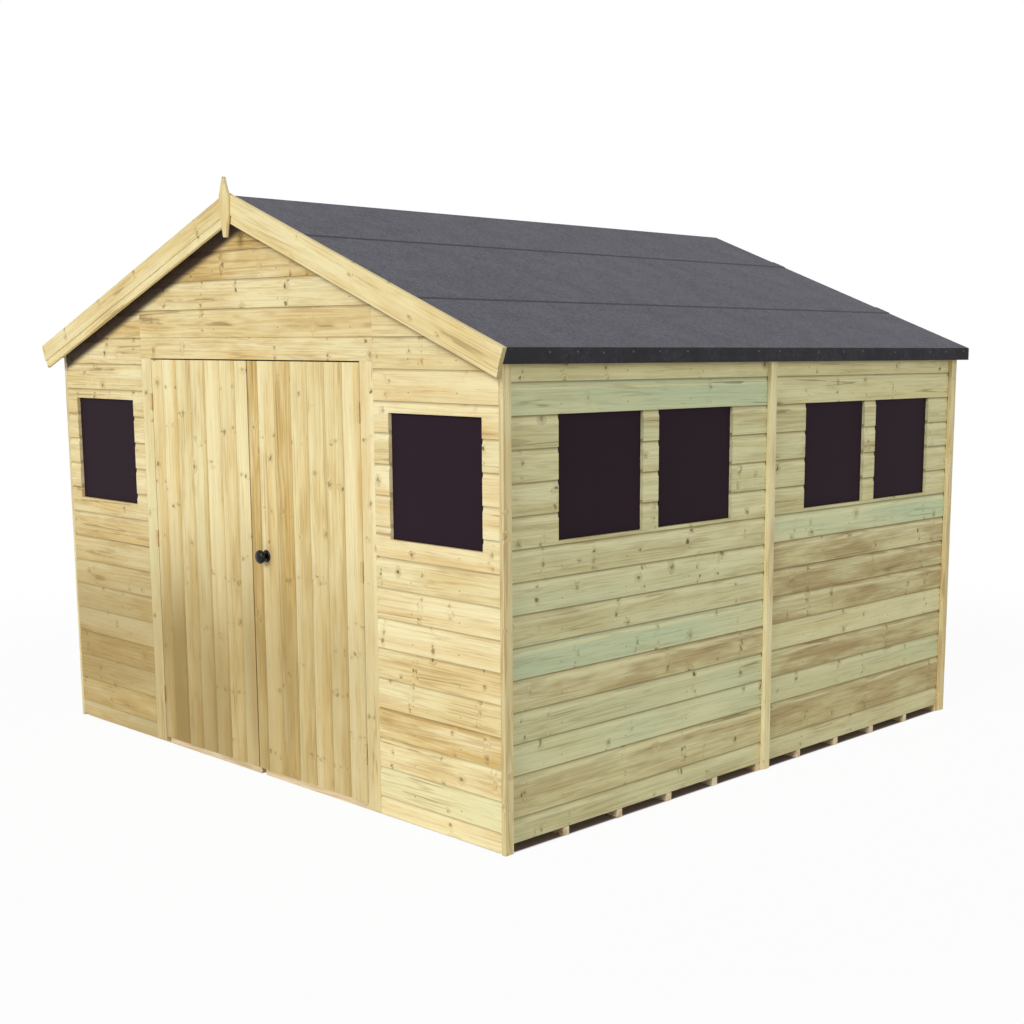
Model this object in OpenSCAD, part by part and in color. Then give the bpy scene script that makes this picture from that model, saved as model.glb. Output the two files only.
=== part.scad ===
// Timber garden shed with an apex roof, double doors at the front and windows at the front and sides.
// X runs across the front, Y from front to back, Z up. The origin is on the ground at the plan's centre.

/* [Overall] */
// Width over the corner strips
shed_w = 3050; // [2900:10:3660]
// Depth between the outer faces of the front and back boarding
shed_d = 3050; // [2600:10:4200]
// Height of the upper edge of the side boarding above the ground
eaves_h = 1823; // [1600:1:2200]
// Slope of the roof in degrees
pitch = 20.8; // [19:0.1:23]

/* [Base] */
// Width of a floor bearer
bearer_w = 30; // [24:1:75]
// Height of a floor bearer
bearer_h = 35; // [30:1:75]
// Number of floor bearers, an odd number so that one lies under the middle
bearer_count = 11; // [7:2:15]
// Gap between the two lengths of the front bearer
front_bearer_gap = 30; // [10:1:80]
// Thickness of the floor boards
floor_t = 16; // [12:1:22]

/* [Walls] */
// Thickness of the wall boarding
clad_t = 16; // [12:1:20]
// Depth of a framing timber, measured in from the boarding
frame_d = 45; // [34:1:60]
// Width of a framing timber, measured along the wall
frame_w = 28; // [22:1:34]
// Height of the lower edge of the front boarding above the ground
front_clad_z = 15; // [5:1:30]
// Gap between the floor bearers and the lower edge of the side and back boarding
side_clad_gap = 1; // [0.5:0.5:10]
// Distance of the joint between the two panels of a side wall behind the middle
side_joint = 33; // [0:1:60]
// Width of the corner and cover strips
strip_w = 42; // [30:1:60]
// Thickness of the corner and cover strips
strip_t = 20; // [12:1:28]
// Height of the lower end of the strips above the ground
strip_z = 6; // [2:1:20]

/* [Doorway] */
// Width of the boarding between each door trim and the corner
front_panel_w = 683; // [600:1:760]
// Depth of the head board's underside below the upper edge of the side boarding
doorway_drop = 63; // [40:1:120]
// Width of the trim beside each door
trim_w = 80; // [60:1:100]
// Height of the head board over the doors
head_board_h = 86; // [60:1:120]
// Width of a door post behind the trim
post_w = 45; // [34:1:60]

/* [Doors] */
// Thickness of the door boards
door_t = 16; // [12:1:20]
// Height of the lower edge of the doors above the ground
door_z = 36; // [30:1:60]
// Running gap round each door
door_gap = 5; // [5:0.5:8]
// Gap between the two doors where they meet
meeting_gap = 7; // [6:0.5:10]
// Height of a ledge across the back of a door
ledge_h = 95; // [70:1:120]
// Thickness of the ledges and braces
ledge_t = 22; // [16:1:28]
// Width of a brace
brace_w = 80; // [60:1:100]
// Distance of the ledges from the upright edges of a door
ledge_inset = 36; // [30:1:60]
// Height of the middle of the lowest ledge above the lower edge of the door
ledge_rise = 200; // [130:1:270]
// Depth of the middle of the highest ledge below the upper edge of the door
ledge_drop = 185; // [110:1:300]

/* [Ironmongery] */
// Length of a hinge
hinge_len = 75; // [60:1:100]
// Radius of a hinge pin
pin_r = 3; // [2:0.1:3.5]
// Radius of a hinge knuckle
knuckle_r = 5.5; // [4.5:0.1:6]
// Clearance of a hinge knuckle from the face of the door
knuckle_clear = 0.5; // [0.3:0.1:1]
// Thickness of a hinge plate
plate_t = 2; // [1.2:0.1:2.2]
// Depth of a hinge plate
plate_d = 15; // [10:1:16]
// Radial play of a turning pin in its bore
pin_play = 0.1; // [0.05:0.01:0.1]
// Height of the knob above the ground
knob_z = 957; // [880:1:1050]
// Distance of the knob from the meeting edge of its door
knob_backset = 98; // [80:1:130]
// Diameter of the knob
knob_d = 57; // [48:1:62]
// Radius of the rounded rim of the knob
knob_rim = 11; // [8:0.5:13]
// Height of the dome on the front of the knob
knob_dome = 4; // [2:0.5:6]
// Diameter of the round plate behind the knob
rose_d = 52; // [46:1:60]
// Thickness of the round plate behind the knob
rose_t = 6; // [4:1:10]
// Diameter of the neck of the knob
neck_d = 20; // [16:1:24]
// Distance from the door's face to the middle of the knob
knob_reach = 32; // [28:1:50]
// Diameter of the spindle between the two knobs
spindle_d = 10; // [8:1:12]
// Height of the latch case on the inside
latch_h = 90; // [70:1:110]
// Thickness of the latch case on the inside
latch_t = 20; // [16:1:28]

/* [Windows] */
// Width of boarding left on each side of a front window opening
front_window_margin = 86; // [70:1:160]
// Height of a front window opening
front_window_h = 474; // [380:1:560]
// Depth of the front window heads below the upper edge of the side boarding
front_window_drop = 251; // [180:1:320]
// Distance of the two windows of a side panel from the corner or the middle in front of them
side_margin_front = 294; // [200:1:360]
// Distance of the two windows of a side panel from the middle or the corner behind them
side_margin_back = 217; // [180:1:300]
// Height of a side window opening
side_window_h = 457; // [360:1:560]
// Depth of the side window heads below the upper edge of the side boarding
side_window_drop = 246; // [180:1:320]
// Width of the boarded post between the two windows of a pair
mullion_w = 90; // [70:1:120]
// Thickness of a window pane
pane_t = 4; // [2:0.5:6]
// How far a pane laps behind the boarding on each side
pane_lap = 12; // [8:1:16]

/* [Roof] */
// Thickness of the roof boards
deck_t = 12; // [9:1:18]
// Thickness of the roofing felt
felt_t = 3; // [2:0.5:4]
// How far the front bargeboards stand above the roof boards
barge_rise = 12; // [9:1:16]
// Overhang of the eaves beyond the corner strips
eave_overhang = 52; // [45:1:70]
// Overhang of the front bargeboards beyond the front boarding
front_overhang = 69; // [50:1:90]
// Depth of the felt fold that hangs over the eaves
eave_fold = 56; // [50:1:70]
// Thickness of a bargeboard
barge_t = 18; // [14:1:22]
// Width of a bargeboard
barge_w = 108; // [100:1:130]
// Length of the front bargeboards past the eaves
barge_past = 25; // [5:1:40]
// Width of the rebate along the lower edge of a front bargeboard
rebate_w = 33; // [20:1:40]
// Depth of that rebate
rebate_d = 4; // [2:0.5:6]
// Distance of the ridge cap's edge from the ridge, down the slope
cap_s = 500; // [400:5:560]
// Distance of the lower felt joint from the eaves, up the slope
lap_s = 490; // [400:5:560]
// Width by which one felt sheet overlaps the next
lap_w = 75; // [50:1:100]
// Length of the rise where one felt sheet climbs onto the next
lap_ramp = 15; // [10:1:25]
// Depth of the roof truss timbers
truss_h = 70; // [50:1:95]
// Height of the underside of the truss tie above the upper edge of the side boarding
tie_rise = 145; // [80:5:190]

/* [Finial] */
// Height of the finial
finial_h = 237; // [220:1:300]
// Greatest width of the finial
finial_w = 60; // [46:1:70]
// Thickness of the finial
finial_t = 14; // [10:1:22]
// Height of the finial's tip above the apex
finial_rise = 61; // [50:1:100]
// Depth of the finial's widest place below the apex
finial_shoulder = 13; // [5:1:60]
// Width of the finial's blunt tip
finial_tip = 6; // [4:1:10]
// Width of the finial's blunt lower end
finial_foot = 18; // [10:1:20]

/* [Hidden] */
$fn = 48;

// Gap that keeps neighbouring timbers of one frame separate solids
joint_gap = 0.5;
// Gap between the roof boards, the sloping timbers under them and the sheets of felt over them
seat_gap = 0.3;
// Room between a pane and the timbers round it
pane_room = 2;
// Room round the spindle in the door's timber
spindle_room = 2;
// How far the tool that cuts a hole runs past each face
hole_over = 1;
// Sides of a full circle where only a short arc of it shows
arc_fn = 480;

// Faces of the boarding and the framing, measured from the centre
out_x = shed_w / 2 - strip_t;
in_x = out_x - clad_t;
frame_x = in_x - frame_d;
out_y = shed_d / 2;
in_y = out_y - clad_t;
frame_y = in_y - frame_d;

// Base and doorway
doorway_h = eaves_h - doorway_drop;
floor_top = bearer_h + floor_t;
side_clad_z = bearer_h + side_clad_gap;
floor_y = in_y - door_gap;
trim_x = out_x - front_panel_w;
jamb_x = trim_x - trim_w;
post_x = jamb_x + door_gap;
head_z = doorway_h + head_board_h;
door_top = doorway_h - door_gap;
door_x0 = meeting_gap / 2;
door_x1 = jamb_x - door_gap;
ledge_x0 = door_x0 + ledge_inset;
ledge_x1 = door_x1 - ledge_inset;
ledge_zs = [door_z + ledge_rise, knob_z, door_top - ledge_drop];

// Hinges and knob
hinge_x = jamb_x - door_gap / 2;
hinge_y = -out_y - knuckle_r - knuckle_clear;
knuckle_len = hinge_len / 3;
bore_r = pin_r + pin_play;
spindle_r = spindle_d / 2;
knob_x = door_x0 + knob_backset;
latch_x0 = ledge_x0 - ledge_inset / 2;
latch_x1 = knob_x + knob_backset / 2;
latch_y = -out_y + door_t + ledge_t;

// Windows
front_window_x = trim_x + front_window_margin;
front_window_w = front_panel_w - 2 * front_window_margin;
front_sill = eaves_h - front_window_drop - front_window_h;
side_sill = eaves_h - side_window_drop - side_window_h;
pair_w = out_y - side_margin_front - side_margin_back;
side_window_w = (pair_w - mullion_w) / 2;
stud_room = pane_lap + pane_room;
// Middle of the pair of windows in a side panel, end is -1 for the front panel and 1 for the back one
function pair_y(end) = (end > 0 ? 0 : -out_y) + side_margin_front + pair_w / 2;

// Roof: offsets are measured square to the slope, down from the top edge of the bargeboards
bed_off = barge_rise - seat_gap;
felt_off = bed_off - felt_t;
lap_bed_off = felt_off - seat_gap;
lap_off = lap_bed_off - felt_t;
under_off = barge_rise + deck_t;
wall_off = under_off + seat_gap;
rail_off = wall_off + frame_w;
stud_off = rail_off + joint_gap;
purlin_d = frame_w;
truss_off = wall_off + purlin_d + seat_gap;
eave_x = shed_w / 2 + eave_overhang;
fold_x = eave_x - felt_t;
deck_x = fold_x - seat_gap;
verge_y = -out_y - front_overhang + barge_t;
back_y = out_y + barge_t;
slope_len = eave_x / cos(pitch);
tie_z = eaves_h + tie_rise;
// Height of the apex, at the top edge of the bargeboards
apex_h = eaves_h + out_x * tan(pitch) + wall_off / cos(pitch);

// Height of the roof line at x, off below the top edge of the bargeboards
function roof_z(x, off = 0) = apex_h - abs(x) * tan(pitch) - off / cos(pitch);
// Distance from the centre of a point s down the slope
function slope_x(s) = s * cos(pitch);

fold_z = roof_z(eave_x, felt_off) - eave_fold;

// Colours
front_pine = [0.90, 0.80, 0.56];
side_pine = [0.72, 0.70, 0.50];
strip_pine = [0.86, 0.70, 0.44];
frame_pine = [0.78, 0.66, 0.44];
floor_pine = [0.74, 0.64, 0.44];
felt_grey = [0.35, 0.35, 0.39];
pane_dark = [0.15, 0.11, 0.14];
iron_black = [0.05, 0.05, 0.06];
hinge_zinc = [0.62, 0.60, 0.55];

// Gives a shape drawn in X and Z a thickness along Y
module along_y(y0, y1) {
  translate([0, y1, 0])
    rotate([90, 0, 0])
      linear_extrude(y1 - y0)
        children();
}

// Gives a shape drawn in Y and Z a thickness along X
module along_x(x0, x1) {
  translate([x0, 0, 0])
    rotate([90, 0, 90])
      linear_extrude(x1 - x0)
        children();
}

// Rectangle between two pairs of limits
module rect(a0, a1, b0, b1) {
  translate([a0, b0])
    square([a1 - a0, b1 - b0]);
}

// Draws a shape and its mirror image across the middle of the shed
module both_sides() {
  children();
  mirror([1, 0, 0])
    children();
}

// Upright whose top follows the roof, off below the roof line
module upright(x0, x1, z0, off) {
  polygon([[x0, z0], [x1, z0], [x1, roof_z(x1, off)], [x0, roof_z(x0, off)]]);
}

// Strip that follows the slope on the right between two offsets, with plumb ends
module slope_strip(x0, x1, off0, off1) {
  polygon([
    [x0, roof_z(x0, off0)], [x1, roof_z(x1, off0)],
    [x1, roof_z(x1, off1)], [x0, roof_z(x0, off1)]
  ]);
}

// Base

module floor_bearers() {
  bearer_step = (2 * floor_y - bearer_w) / (bearer_count - 1);
  color(frame_pine) {
    both_sides()
      translate([front_bearer_gap / 2, -floor_y, 0])
        cube([out_x - front_bearer_gap / 2, bearer_w, bearer_h]);
    for (i = [1 : bearer_count - 1])
      translate([-out_x, -floor_y + i * bearer_step, 0])
        cube([2 * out_x, bearer_w, bearer_h]);
  }
}

module floor_boards() {
  color(floor_pine)
    translate([-in_x, -floor_y, bearer_h])
      cube([2 * in_x, 2 * floor_y, floor_t]);
}

// Boarding

module front_window_shape(grow = 0) {
  rect(
    front_window_x - grow, front_window_x + front_window_w + grow,
    front_sill - grow, front_sill + front_window_h + grow
  );
}

module front_side_panel() {
  color(front_pine)
    along_y(-out_y, -in_y)
      difference() {
        upright(trim_x, out_x, front_clad_z, wall_off);
        front_window_shape();
      }
}

module front_left_panel() {
  mirror([1, 0, 0])
    front_side_panel();
}

module front_right_panel() {
  front_side_panel();
}

module front_gable_panel() {
  color(front_pine)
    along_y(-out_y, -in_y)
      polygon([
        [-trim_x, head_z], [trim_x, head_z], [trim_x, roof_z(trim_x, wall_off)],
        [0, roof_z(0, wall_off)], [-trim_x, roof_z(trim_x, wall_off)]
      ]);
}

module door_head_board() {
  color(front_pine)
    along_y(-out_y, -in_y)
      rect(-trim_x, trim_x, doorway_h, head_z);
}

module door_trims() {
  color(front_pine)
    both_sides()
      along_y(-out_y, -in_y)
        rect(jamb_x, trim_x, front_clad_z, doorway_h);
}

// The two window openings of a pair, drawn in Y and Z round the pair's own middle
module window_pair_shape(grow = 0) {
  for (side = [-1, 1])
    translate([side * (side_window_w + mullion_w) / 2, side_sill + side_window_h / 2])
      square([side_window_w + 2 * grow, side_window_h + 2 * grow], center = true);
}

// One boarded side panel on the right, its end is -1 at the front and 1 at the back
module side_panel(end) {
  color(side_pine)
    along_x(in_x, out_x)
      difference() {
        rect(
          end > 0 ? side_joint + joint_gap / 2 : -in_y, end > 0 ? in_y : side_joint - joint_gap / 2,
          side_clad_z, roof_z(out_x, wall_off)
        );
        translate([pair_y(end), 0])
          window_pair_shape();
      }
}

module right_front_panel() {
  side_panel(-1);
}

module right_back_panel() {
  side_panel(1);
}

module left_front_panel() {
  mirror([1, 0, 0])
    side_panel(-1);
}

module left_back_panel() {
  mirror([1, 0, 0])
    side_panel(1);
}

module back_half_panel() {
  color(side_pine)
    along_y(in_y, out_y)
      upright(joint_gap / 2, out_x, side_clad_z, wall_off);
}

module back_left_panel() {
  mirror([1, 0, 0])
    back_half_panel();
}

module back_right_panel() {
  back_half_panel();
}

module corner_strips() {
  color(strip_pine)
    both_sides()
      along_x(out_x, out_x + strip_t)
        for (end = [-1, 1])
          translate([end * (out_y - strip_w / 2), 0])
            rect(-strip_w / 2, strip_w / 2, strip_z, roof_z(out_x + strip_t, wall_off));
}

module cover_strips() {
  color(strip_pine) {
    both_sides()
      along_x(out_x, out_x + strip_t)
        translate([side_joint, 0])
          rect(-strip_w / 2, strip_w / 2, strip_z, roof_z(out_x + strip_t, wall_off));
    along_y(out_y, out_y + strip_t)
      rect(-strip_w / 2, strip_w / 2, strip_z, roof_z(strip_w / 2, barge_w + seat_gap));
  }
}

// Framing

// Horizontal timbers under and over an opening, fitted between two studs
module opening_rails(stud0, stud1, z0, z1) {
  for (z = [z0 - stud_room - frame_w, z1 + stud_room])
    rect(stud0 + joint_gap, stud1 - joint_gap, z, z + frame_w);
}

// Sloping top timbers of a gable frame on the right, cut plumb at the middle
module gable_rafter() {
  slope_strip(joint_gap / 2, in_x, wall_off, rail_off);
}

module front_frame() {
  stud_z = floor_top + frame_w + joint_gap;
  stud_x = front_window_x - stud_room;
  lintel_top = doorway_h + joint_gap + post_w;
  color(frame_pine)
    along_y(-in_y, -frame_y) {
      both_sides() {
        gable_rafter();
        rect(post_x + post_w + joint_gap, in_x, floor_top, floor_top + frame_w);
        rect(post_x, post_x + post_w, floor_top, doorway_h);
        upright(stud_x - frame_w, stud_x, stud_z, stud_off);
        upright(in_x - frame_w, in_x, stud_z, stud_off);
        opening_rails(stud_x, in_x - frame_w, front_sill, front_sill + front_window_h);
        upright(post_x, post_x + frame_w, lintel_top + joint_gap, stud_off);
      }
      rect(-post_x - post_w, post_x + post_w, doorway_h + joint_gap, lintel_top);
      rect(-frame_w / 2, frame_w / 2, lintel_top + joint_gap, roof_z(frame_w / 2, stud_off));
    }
}

module back_frame() {
  stud_z = floor_top + frame_w + joint_gap;
  color(frame_pine)
    along_y(frame_y, in_y)
      both_sides() {
        gable_rafter();
        rect(joint_gap / 2, in_x, floor_top, floor_top + frame_w);
        upright(joint_gap / 2, frame_w, stud_z, stud_off);
        upright(in_x / 2 - frame_w / 2, in_x / 2 + frame_w / 2, stud_z, stud_off);
        upright(in_x - frame_w, in_x, stud_z, stud_off);
      }
}

// Frame of one side panel on the right, its end is -1 at the front and 1 at the back
module side_frame_half(end) {
  end_y = frame_y - joint_gap;
  y0 = end > 0 ? side_joint + joint_gap / 2 : -end_y;
  y1 = end > 0 ? end_y : side_joint - joint_gap / 2;
  rail_top = roof_z(in_x, wall_off);
  near_y = pair_y(end) - pair_w / 2 - stud_room;
  far_y = pair_y(end) + pair_w / 2 + stud_room;
  for (z = [floor_top, rail_top - frame_w])
    rect(y0, y1, z, z + frame_w);
  for (y = [y0, near_y - frame_w, far_y, y1 - frame_w])
    rect(y, y + frame_w, floor_top + frame_w + joint_gap, rail_top - frame_w - joint_gap);
  rect(
    pair_y(end) - frame_w / 2, pair_y(end) + frame_w / 2,
    side_sill - stud_room + joint_gap, side_sill + side_window_h + stud_room - joint_gap
  );
  opening_rails(near_y, far_y, side_sill, side_sill + side_window_h);
}

module right_frame() {
  color(frame_pine)
    along_x(frame_x, in_x)
      for (end = [-1, 1])
        side_frame_half(end);
}

module left_frame() {
  mirror([1, 0, 0])
    right_frame();
}

// Window panes

module front_panes() {
  color(pane_dark)
    both_sides()
      along_y(-in_y, -in_y + pane_t)
        front_window_shape(pane_lap);
}

module right_panes() {
  color(pane_dark)
    along_x(in_x - pane_t, in_x)
      for (end = [-1, 1])
        translate([pair_y(end), 0])
          window_pair_shape(pane_lap);
}

module left_panes() {
  mirror([1, 0, 0])
    right_panes();
}

// Doors

module left_door() {
  color(front_pine)
    mirror([1, 0, 0])
      along_y(-out_y, -out_y + door_t)
        rect(door_x0, door_x1, door_z, door_top);
}

module right_door() {
  color(front_pine)
    difference() {
      along_y(-out_y, -out_y + door_t)
        rect(door_x0, door_x1, door_z, door_top);
      spindle_hole(door_t, spindle_r + spindle_room);
    }
}

// Hole through the right door for the spindle, from the face to depth behind it
module spindle_hole(depth, r) {
  translate([knob_x, -out_y - hole_over, knob_z])
    rotate([-90, 0, 0])
      cylinder(r = r, h = depth + 2 * hole_over);
}

// Three ledges and two braces on the back of the right door
module door_ledges() {
  color(frame_pine)
    along_y(-out_y + door_t, -out_y + door_t + ledge_t) {
      for (z = ledge_zs)
        rect(ledge_x0, ledge_x1, z - ledge_h / 2, z + ledge_h / 2);
      for (i = [0 : 1]) {
        z0 = ledge_zs[i] + ledge_h / 2 + joint_gap;
        z1 = ledge_zs[i + 1] - ledge_h / 2 - joint_gap;
        polygon([
          [ledge_x1 - brace_w, z0], [ledge_x1, z0], [ledge_x0 + brace_w, z1], [ledge_x0, z1]
        ]);
      }
    }
}

module left_door_ledges() {
  mirror([1, 0, 0])
    door_ledges();
}

module right_door_ledges() {
  color(frame_pine)
    difference() {
      door_ledges();
      spindle_hole(door_t + ledge_t, spindle_r + spindle_room);
    }
}

// Ironmongery

// Places the three hinges of the right door
module at_hinges() {
  for (z = ledge_zs)
    translate([hinge_x, hinge_y, z])
      children();
}

// Plate of a hinge with a tongue that reaches the pin, side is 1 on the trim and -1 on the door
module hinge_plate(side) {
  face_y = -out_y - hinge_y;
  plate_x = side > 0 ? door_gap / 2 - plate_t : -door_gap / 2;
  translate([plate_x, face_y, -hinge_len / 2])
    cube([plate_t, plate_d, hinge_len]);
}

// Knuckle of a hinge between two heights, with its tongue onto the plate
module hinge_knuckle(side, z0, z1) {
  face_y = -out_y - hinge_y;
  plate_x = side > 0 ? door_gap / 2 - plate_t : -door_gap / 2;
  translate([0, 0, z0])
    cylinder(r = knuckle_r, h = z1 - z0);
  translate([plate_x, 0, z0])
    cube([plate_t, face_y + plate_t, z1 - z0]);
}

module hinge_posts() {
  color(hinge_zinc)
    both_sides()
      at_hinges() {
        hinge_plate(1);
        hinge_knuckle(1, -hinge_len / 2, -knuckle_len / 2 - joint_gap);
        hinge_knuckle(1, knuckle_len / 2 + joint_gap, hinge_len / 2);
        translate([0, 0, -hinge_len / 2])
          cylinder(r = pin_r, h = hinge_len);
      }
}

module right_hinge_leaves() {
  color(hinge_zinc)
    at_hinges()
      difference() {
        union() {
          hinge_plate(-1);
          hinge_knuckle(-1, -knuckle_len / 2, knuckle_len / 2);
        }
        translate([0, 0, -knuckle_len])
          cylinder(r = bore_r, h = 2 * knuckle_len);
      }
}

module left_hinge_leaves() {
  mirror([1, 0, 0])
    right_hinge_leaves();
}

// Turns a shape drawn as radius and distance in front of the door's face about the spindle
module about_spindle() {
  translate([knob_x, -out_y, knob_z])
    rotate([90, 0, 0])
      rotate_extrude()
        children();
}

module door_rose() {
  color(iron_black)
    about_spindle()
      polygon([
        [spindle_r + pin_play, 0], [rose_d / 2, 0], [rose_d / 2, rose_t / 2],
        [rose_d / 2 - rose_t / 2, rose_t], [spindle_r + pin_play, rose_t]
      ]);
}

// Half outline of a knob whose neck starts at 0, with a rounded rim and a domed front
module knob_profile(reach) {
  flat_r = knob_d / 2 - knob_rim;
  dome_r = (flat_r * flat_r + knob_dome * knob_dome) / (2 * knob_dome);
  rect(0, neck_d / 2, 0, reach);
  rect(0, flat_r, reach - knob_rim, reach + knob_rim);
  translate([flat_r, reach])
    circle(r = knob_rim);
  intersection() {
    translate([0, reach + knob_rim + knob_dome - dome_r])
      circle(r = dome_r);
    rect(0, flat_r, reach, reach + knob_rim + knob_dome);
  }
}

// Outer and inner knob on one spindle
module door_knob() {
  outer_neck = rose_t + joint_gap;
  inner_neck = -door_t - ledge_t - latch_t - joint_gap;
  color(iron_black)
    about_spindle() {
      translate([0, outer_neck])
        knob_profile(knob_reach - outer_neck);
      translate([0, inner_neck])
        mirror([0, 1])
          knob_profile(knob_reach - outer_neck);
      rect(0, spindle_r, inner_neck - knob_rim, outer_neck + knob_rim);
    }
}

module latch_case() {
  color(iron_black)
    difference() {
      along_y(latch_y, latch_y + latch_t)
        rect(latch_x0, latch_x1, knob_z - latch_h / 2, knob_z + latch_h / 2);
      spindle_hole(door_t + ledge_t + latch_t, spindle_r + pin_play);
    }
}

module latch_keep() {
  color(iron_black)
    mirror([1, 0, 0])
      along_y(latch_y, latch_y + latch_t)
        rect(latch_x0, knob_x - spindle_d, knob_z - latch_h / 2, knob_z + latch_h / 2);
}

// Roof

module roof_boards() {
  color(frame_pine)
    along_y(verge_y, out_y)
      slope_strip(joint_gap / 2, deck_x, barge_rise, under_off);
}

module roof_boards_left() {
  mirror([1, 0, 0])
    roof_boards();
}

module roof_boards_right() {
  roof_boards();
}

module eaves_battens() {
  batten_x = deck_x - frame_w;
  color(frame_pine)
    both_sides()
      along_y(verge_y, out_y)
        upright(batten_x, deck_x, fold_z, wall_off);
}

// Lengthwise timbers under the roof boards, one by the ridge and one half-way down each slope
module purlins() {
  purlin_xs = [frame_w, slope_x(slope_len / 2)];
  color(frame_pine)
    both_sides()
      along_y(-frame_y + joint_gap, frame_y - joint_gap)
        for (x = purlin_xs)
          slope_strip(x, x + frame_d, wall_off, wall_off + purlin_d);
}

module roof_truss() {
  truss_end = frame_x - joint_gap;
  tie_x = (apex_h - tie_z - truss_h - truss_off / cos(pitch)) / tan(pitch);
  tie_y = frame_w / 2 + seat_gap;
  color(frame_pine) {
    both_sides()
      along_y(-frame_w / 2, frame_w / 2)
        slope_strip(joint_gap / 2, truss_end, truss_off, truss_off + truss_h);
    along_y(tie_y, tie_y + frame_w)
      rect(-tie_x, tie_x, tie_z, tie_z + truss_h);
  }
}

// Sheet of felt from the lower joint down over the eaves
module felt_lower() {
  x0 = slope_x(slope_len - lap_s - lap_w);
  color(felt_grey)
    along_y(verge_y, back_y)
      polygon([
        [x0, roof_z(x0, felt_off)], [eave_x, roof_z(eave_x, felt_off)], [eave_x, fold_z],
        [fold_x, fold_z], [fold_x, roof_z(fold_x, bed_off)], [x0, roof_z(x0, bed_off)]
      ]);
}

// Points along one face of a sheet that climbs onto the next one at s, down to the edge lap_w further
function lapped(x0, s, low, high) = [
  [x0, roof_z(x0, low)],
  [slope_x(s - lap_ramp), roof_z(slope_x(s - lap_ramp), low)],
  [slope_x(s), roof_z(slope_x(s), high)],
  [slope_x(s + lap_w), roof_z(slope_x(s + lap_w), high)]
];

// The same points from the last to the first
function reversed(points) = [for (i = [len(points) - 1 : -1 : 0]) points[i]];

// Sheet of felt between the ridge cap and the lower joint
module felt_upper() {
  x0 = slope_x(cap_s - lap_w);
  s = slope_len - lap_s - lap_w;
  color(felt_grey)
    along_y(verge_y, back_y)
      polygon(concat(
        lapped(x0, s, felt_off, lap_off),
        reversed(lapped(x0, s, bed_off, lap_bed_off))
      ));
}

module felt_lower_left() {
  mirror([1, 0, 0])
    felt_lower();
}

module felt_lower_right() {
  felt_lower();
}

module felt_upper_left() {
  mirror([1, 0, 0])
    felt_upper();
}

module felt_upper_right() {
  felt_upper();
}

// One face of the ridge cap from edge to edge, through the apex
function cap_face(low, high) = let (half = lapped(0, cap_s - lap_w, low, high))
  concat([for (i = [len(half) - 1 : -1 : 1]) [-half[i].x, half[i].y]], half);

module felt_ridge_cap() {
  color(felt_grey)
    along_y(verge_y, back_y)
      polygon(concat(cap_face(felt_off, lap_off), reversed(cap_face(bed_off, lap_bed_off))));
}

// Bargeboard on the right between two offsets, cut plumb at the apex and square at its lower end
module bargeboard(off0, off1, end_x) {
  reach = off1 - off0;
  polygon([
    [joint_gap / 2, roof_z(joint_gap / 2, off0)],
    [end_x, roof_z(end_x, off0)],
    [end_x - reach * sin(pitch), roof_z(end_x, off0) - reach * cos(pitch)],
    [joint_gap / 2, roof_z(joint_gap / 2, off1)]
  ]);
}

// The face of a front bargeboard is rebated along its lower edge
module front_bargeboards() {
  face_y = verge_y - barge_t;
  end_x = eave_x + barge_past;
  color(front_pine)
    both_sides() {
      along_y(face_y, verge_y)
        bargeboard(0, barge_w - rebate_w, end_x);
      along_y(face_y + rebate_d, verge_y)
        bargeboard(0, barge_w, end_x);
    }
}

// The feet of the back bargeboards are cut level with the felt fold
module back_bargeboards() {
  color(front_pine)
    both_sides()
      along_y(out_y, back_y)
        intersection() {
          bargeboard(barge_rise, barge_w, deck_x);
          rect(0, deck_x, fold_z, apex_h);
        }
}

// Pointed board on the front of the apex, straight above its widest place and rounded in below it
module finial() {
  tip_z = apex_h + finial_rise;
  shoulder_z = apex_h - finial_shoulder;
  foot_z = tip_z - finial_h;
  drop = shoulder_z - foot_z;
  taper = (finial_w - finial_foot) / 2;
  side_r = (taper * taper + drop * drop) / (2 * taper);
  color(front_pine)
    along_y(verge_y - barge_t - finial_t, verge_y - barge_t)
      intersection() {
        polygon([
          [-finial_tip / 2, tip_z], [finial_tip / 2, tip_z], [finial_w / 2, shoulder_z],
          [finial_w / 2, foot_z], [-finial_w / 2, foot_z], [-finial_w / 2, shoulder_z]
        ]);
        translate([finial_w / 2 - side_r, shoulder_z])
          circle(r = side_r, $fn = arc_fn);
        translate([side_r - finial_w / 2, shoulder_z])
          circle(r = side_r, $fn = arc_fn);
      }
}

floor_bearers();
floor_boards();
front_left_panel();
front_right_panel();
front_gable_panel();
door_head_board();
door_trims();
right_front_panel();
right_back_panel();
left_front_panel();
left_back_panel();
back_left_panel();
back_right_panel();
corner_strips();
cover_strips();
front_frame();
right_frame();
left_frame();
back_frame();
front_panes();
right_panes();
left_panes();
left_door();
right_door();
left_door_ledges();
right_door_ledges();
hinge_posts();
left_hinge_leaves();
right_hinge_leaves();
door_rose();
door_knob();
latch_case();
latch_keep();
roof_boards_left();
roof_boards_right();
eaves_battens();
purlins();
roof_truss();
felt_lower_left();
felt_lower_right();
felt_upper_left();
felt_upper_right();
felt_ridge_cap();
front_bargeboards();
back_bargeboards();
finial();
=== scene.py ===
"""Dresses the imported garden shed: boards, planed timbers, felt, panes, ironwork, nails and a stage."""

import math

import bmesh
import bpy
import numpy as np
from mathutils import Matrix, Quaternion, Vector
from mathutils.bvhtree import BVHTree


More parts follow.
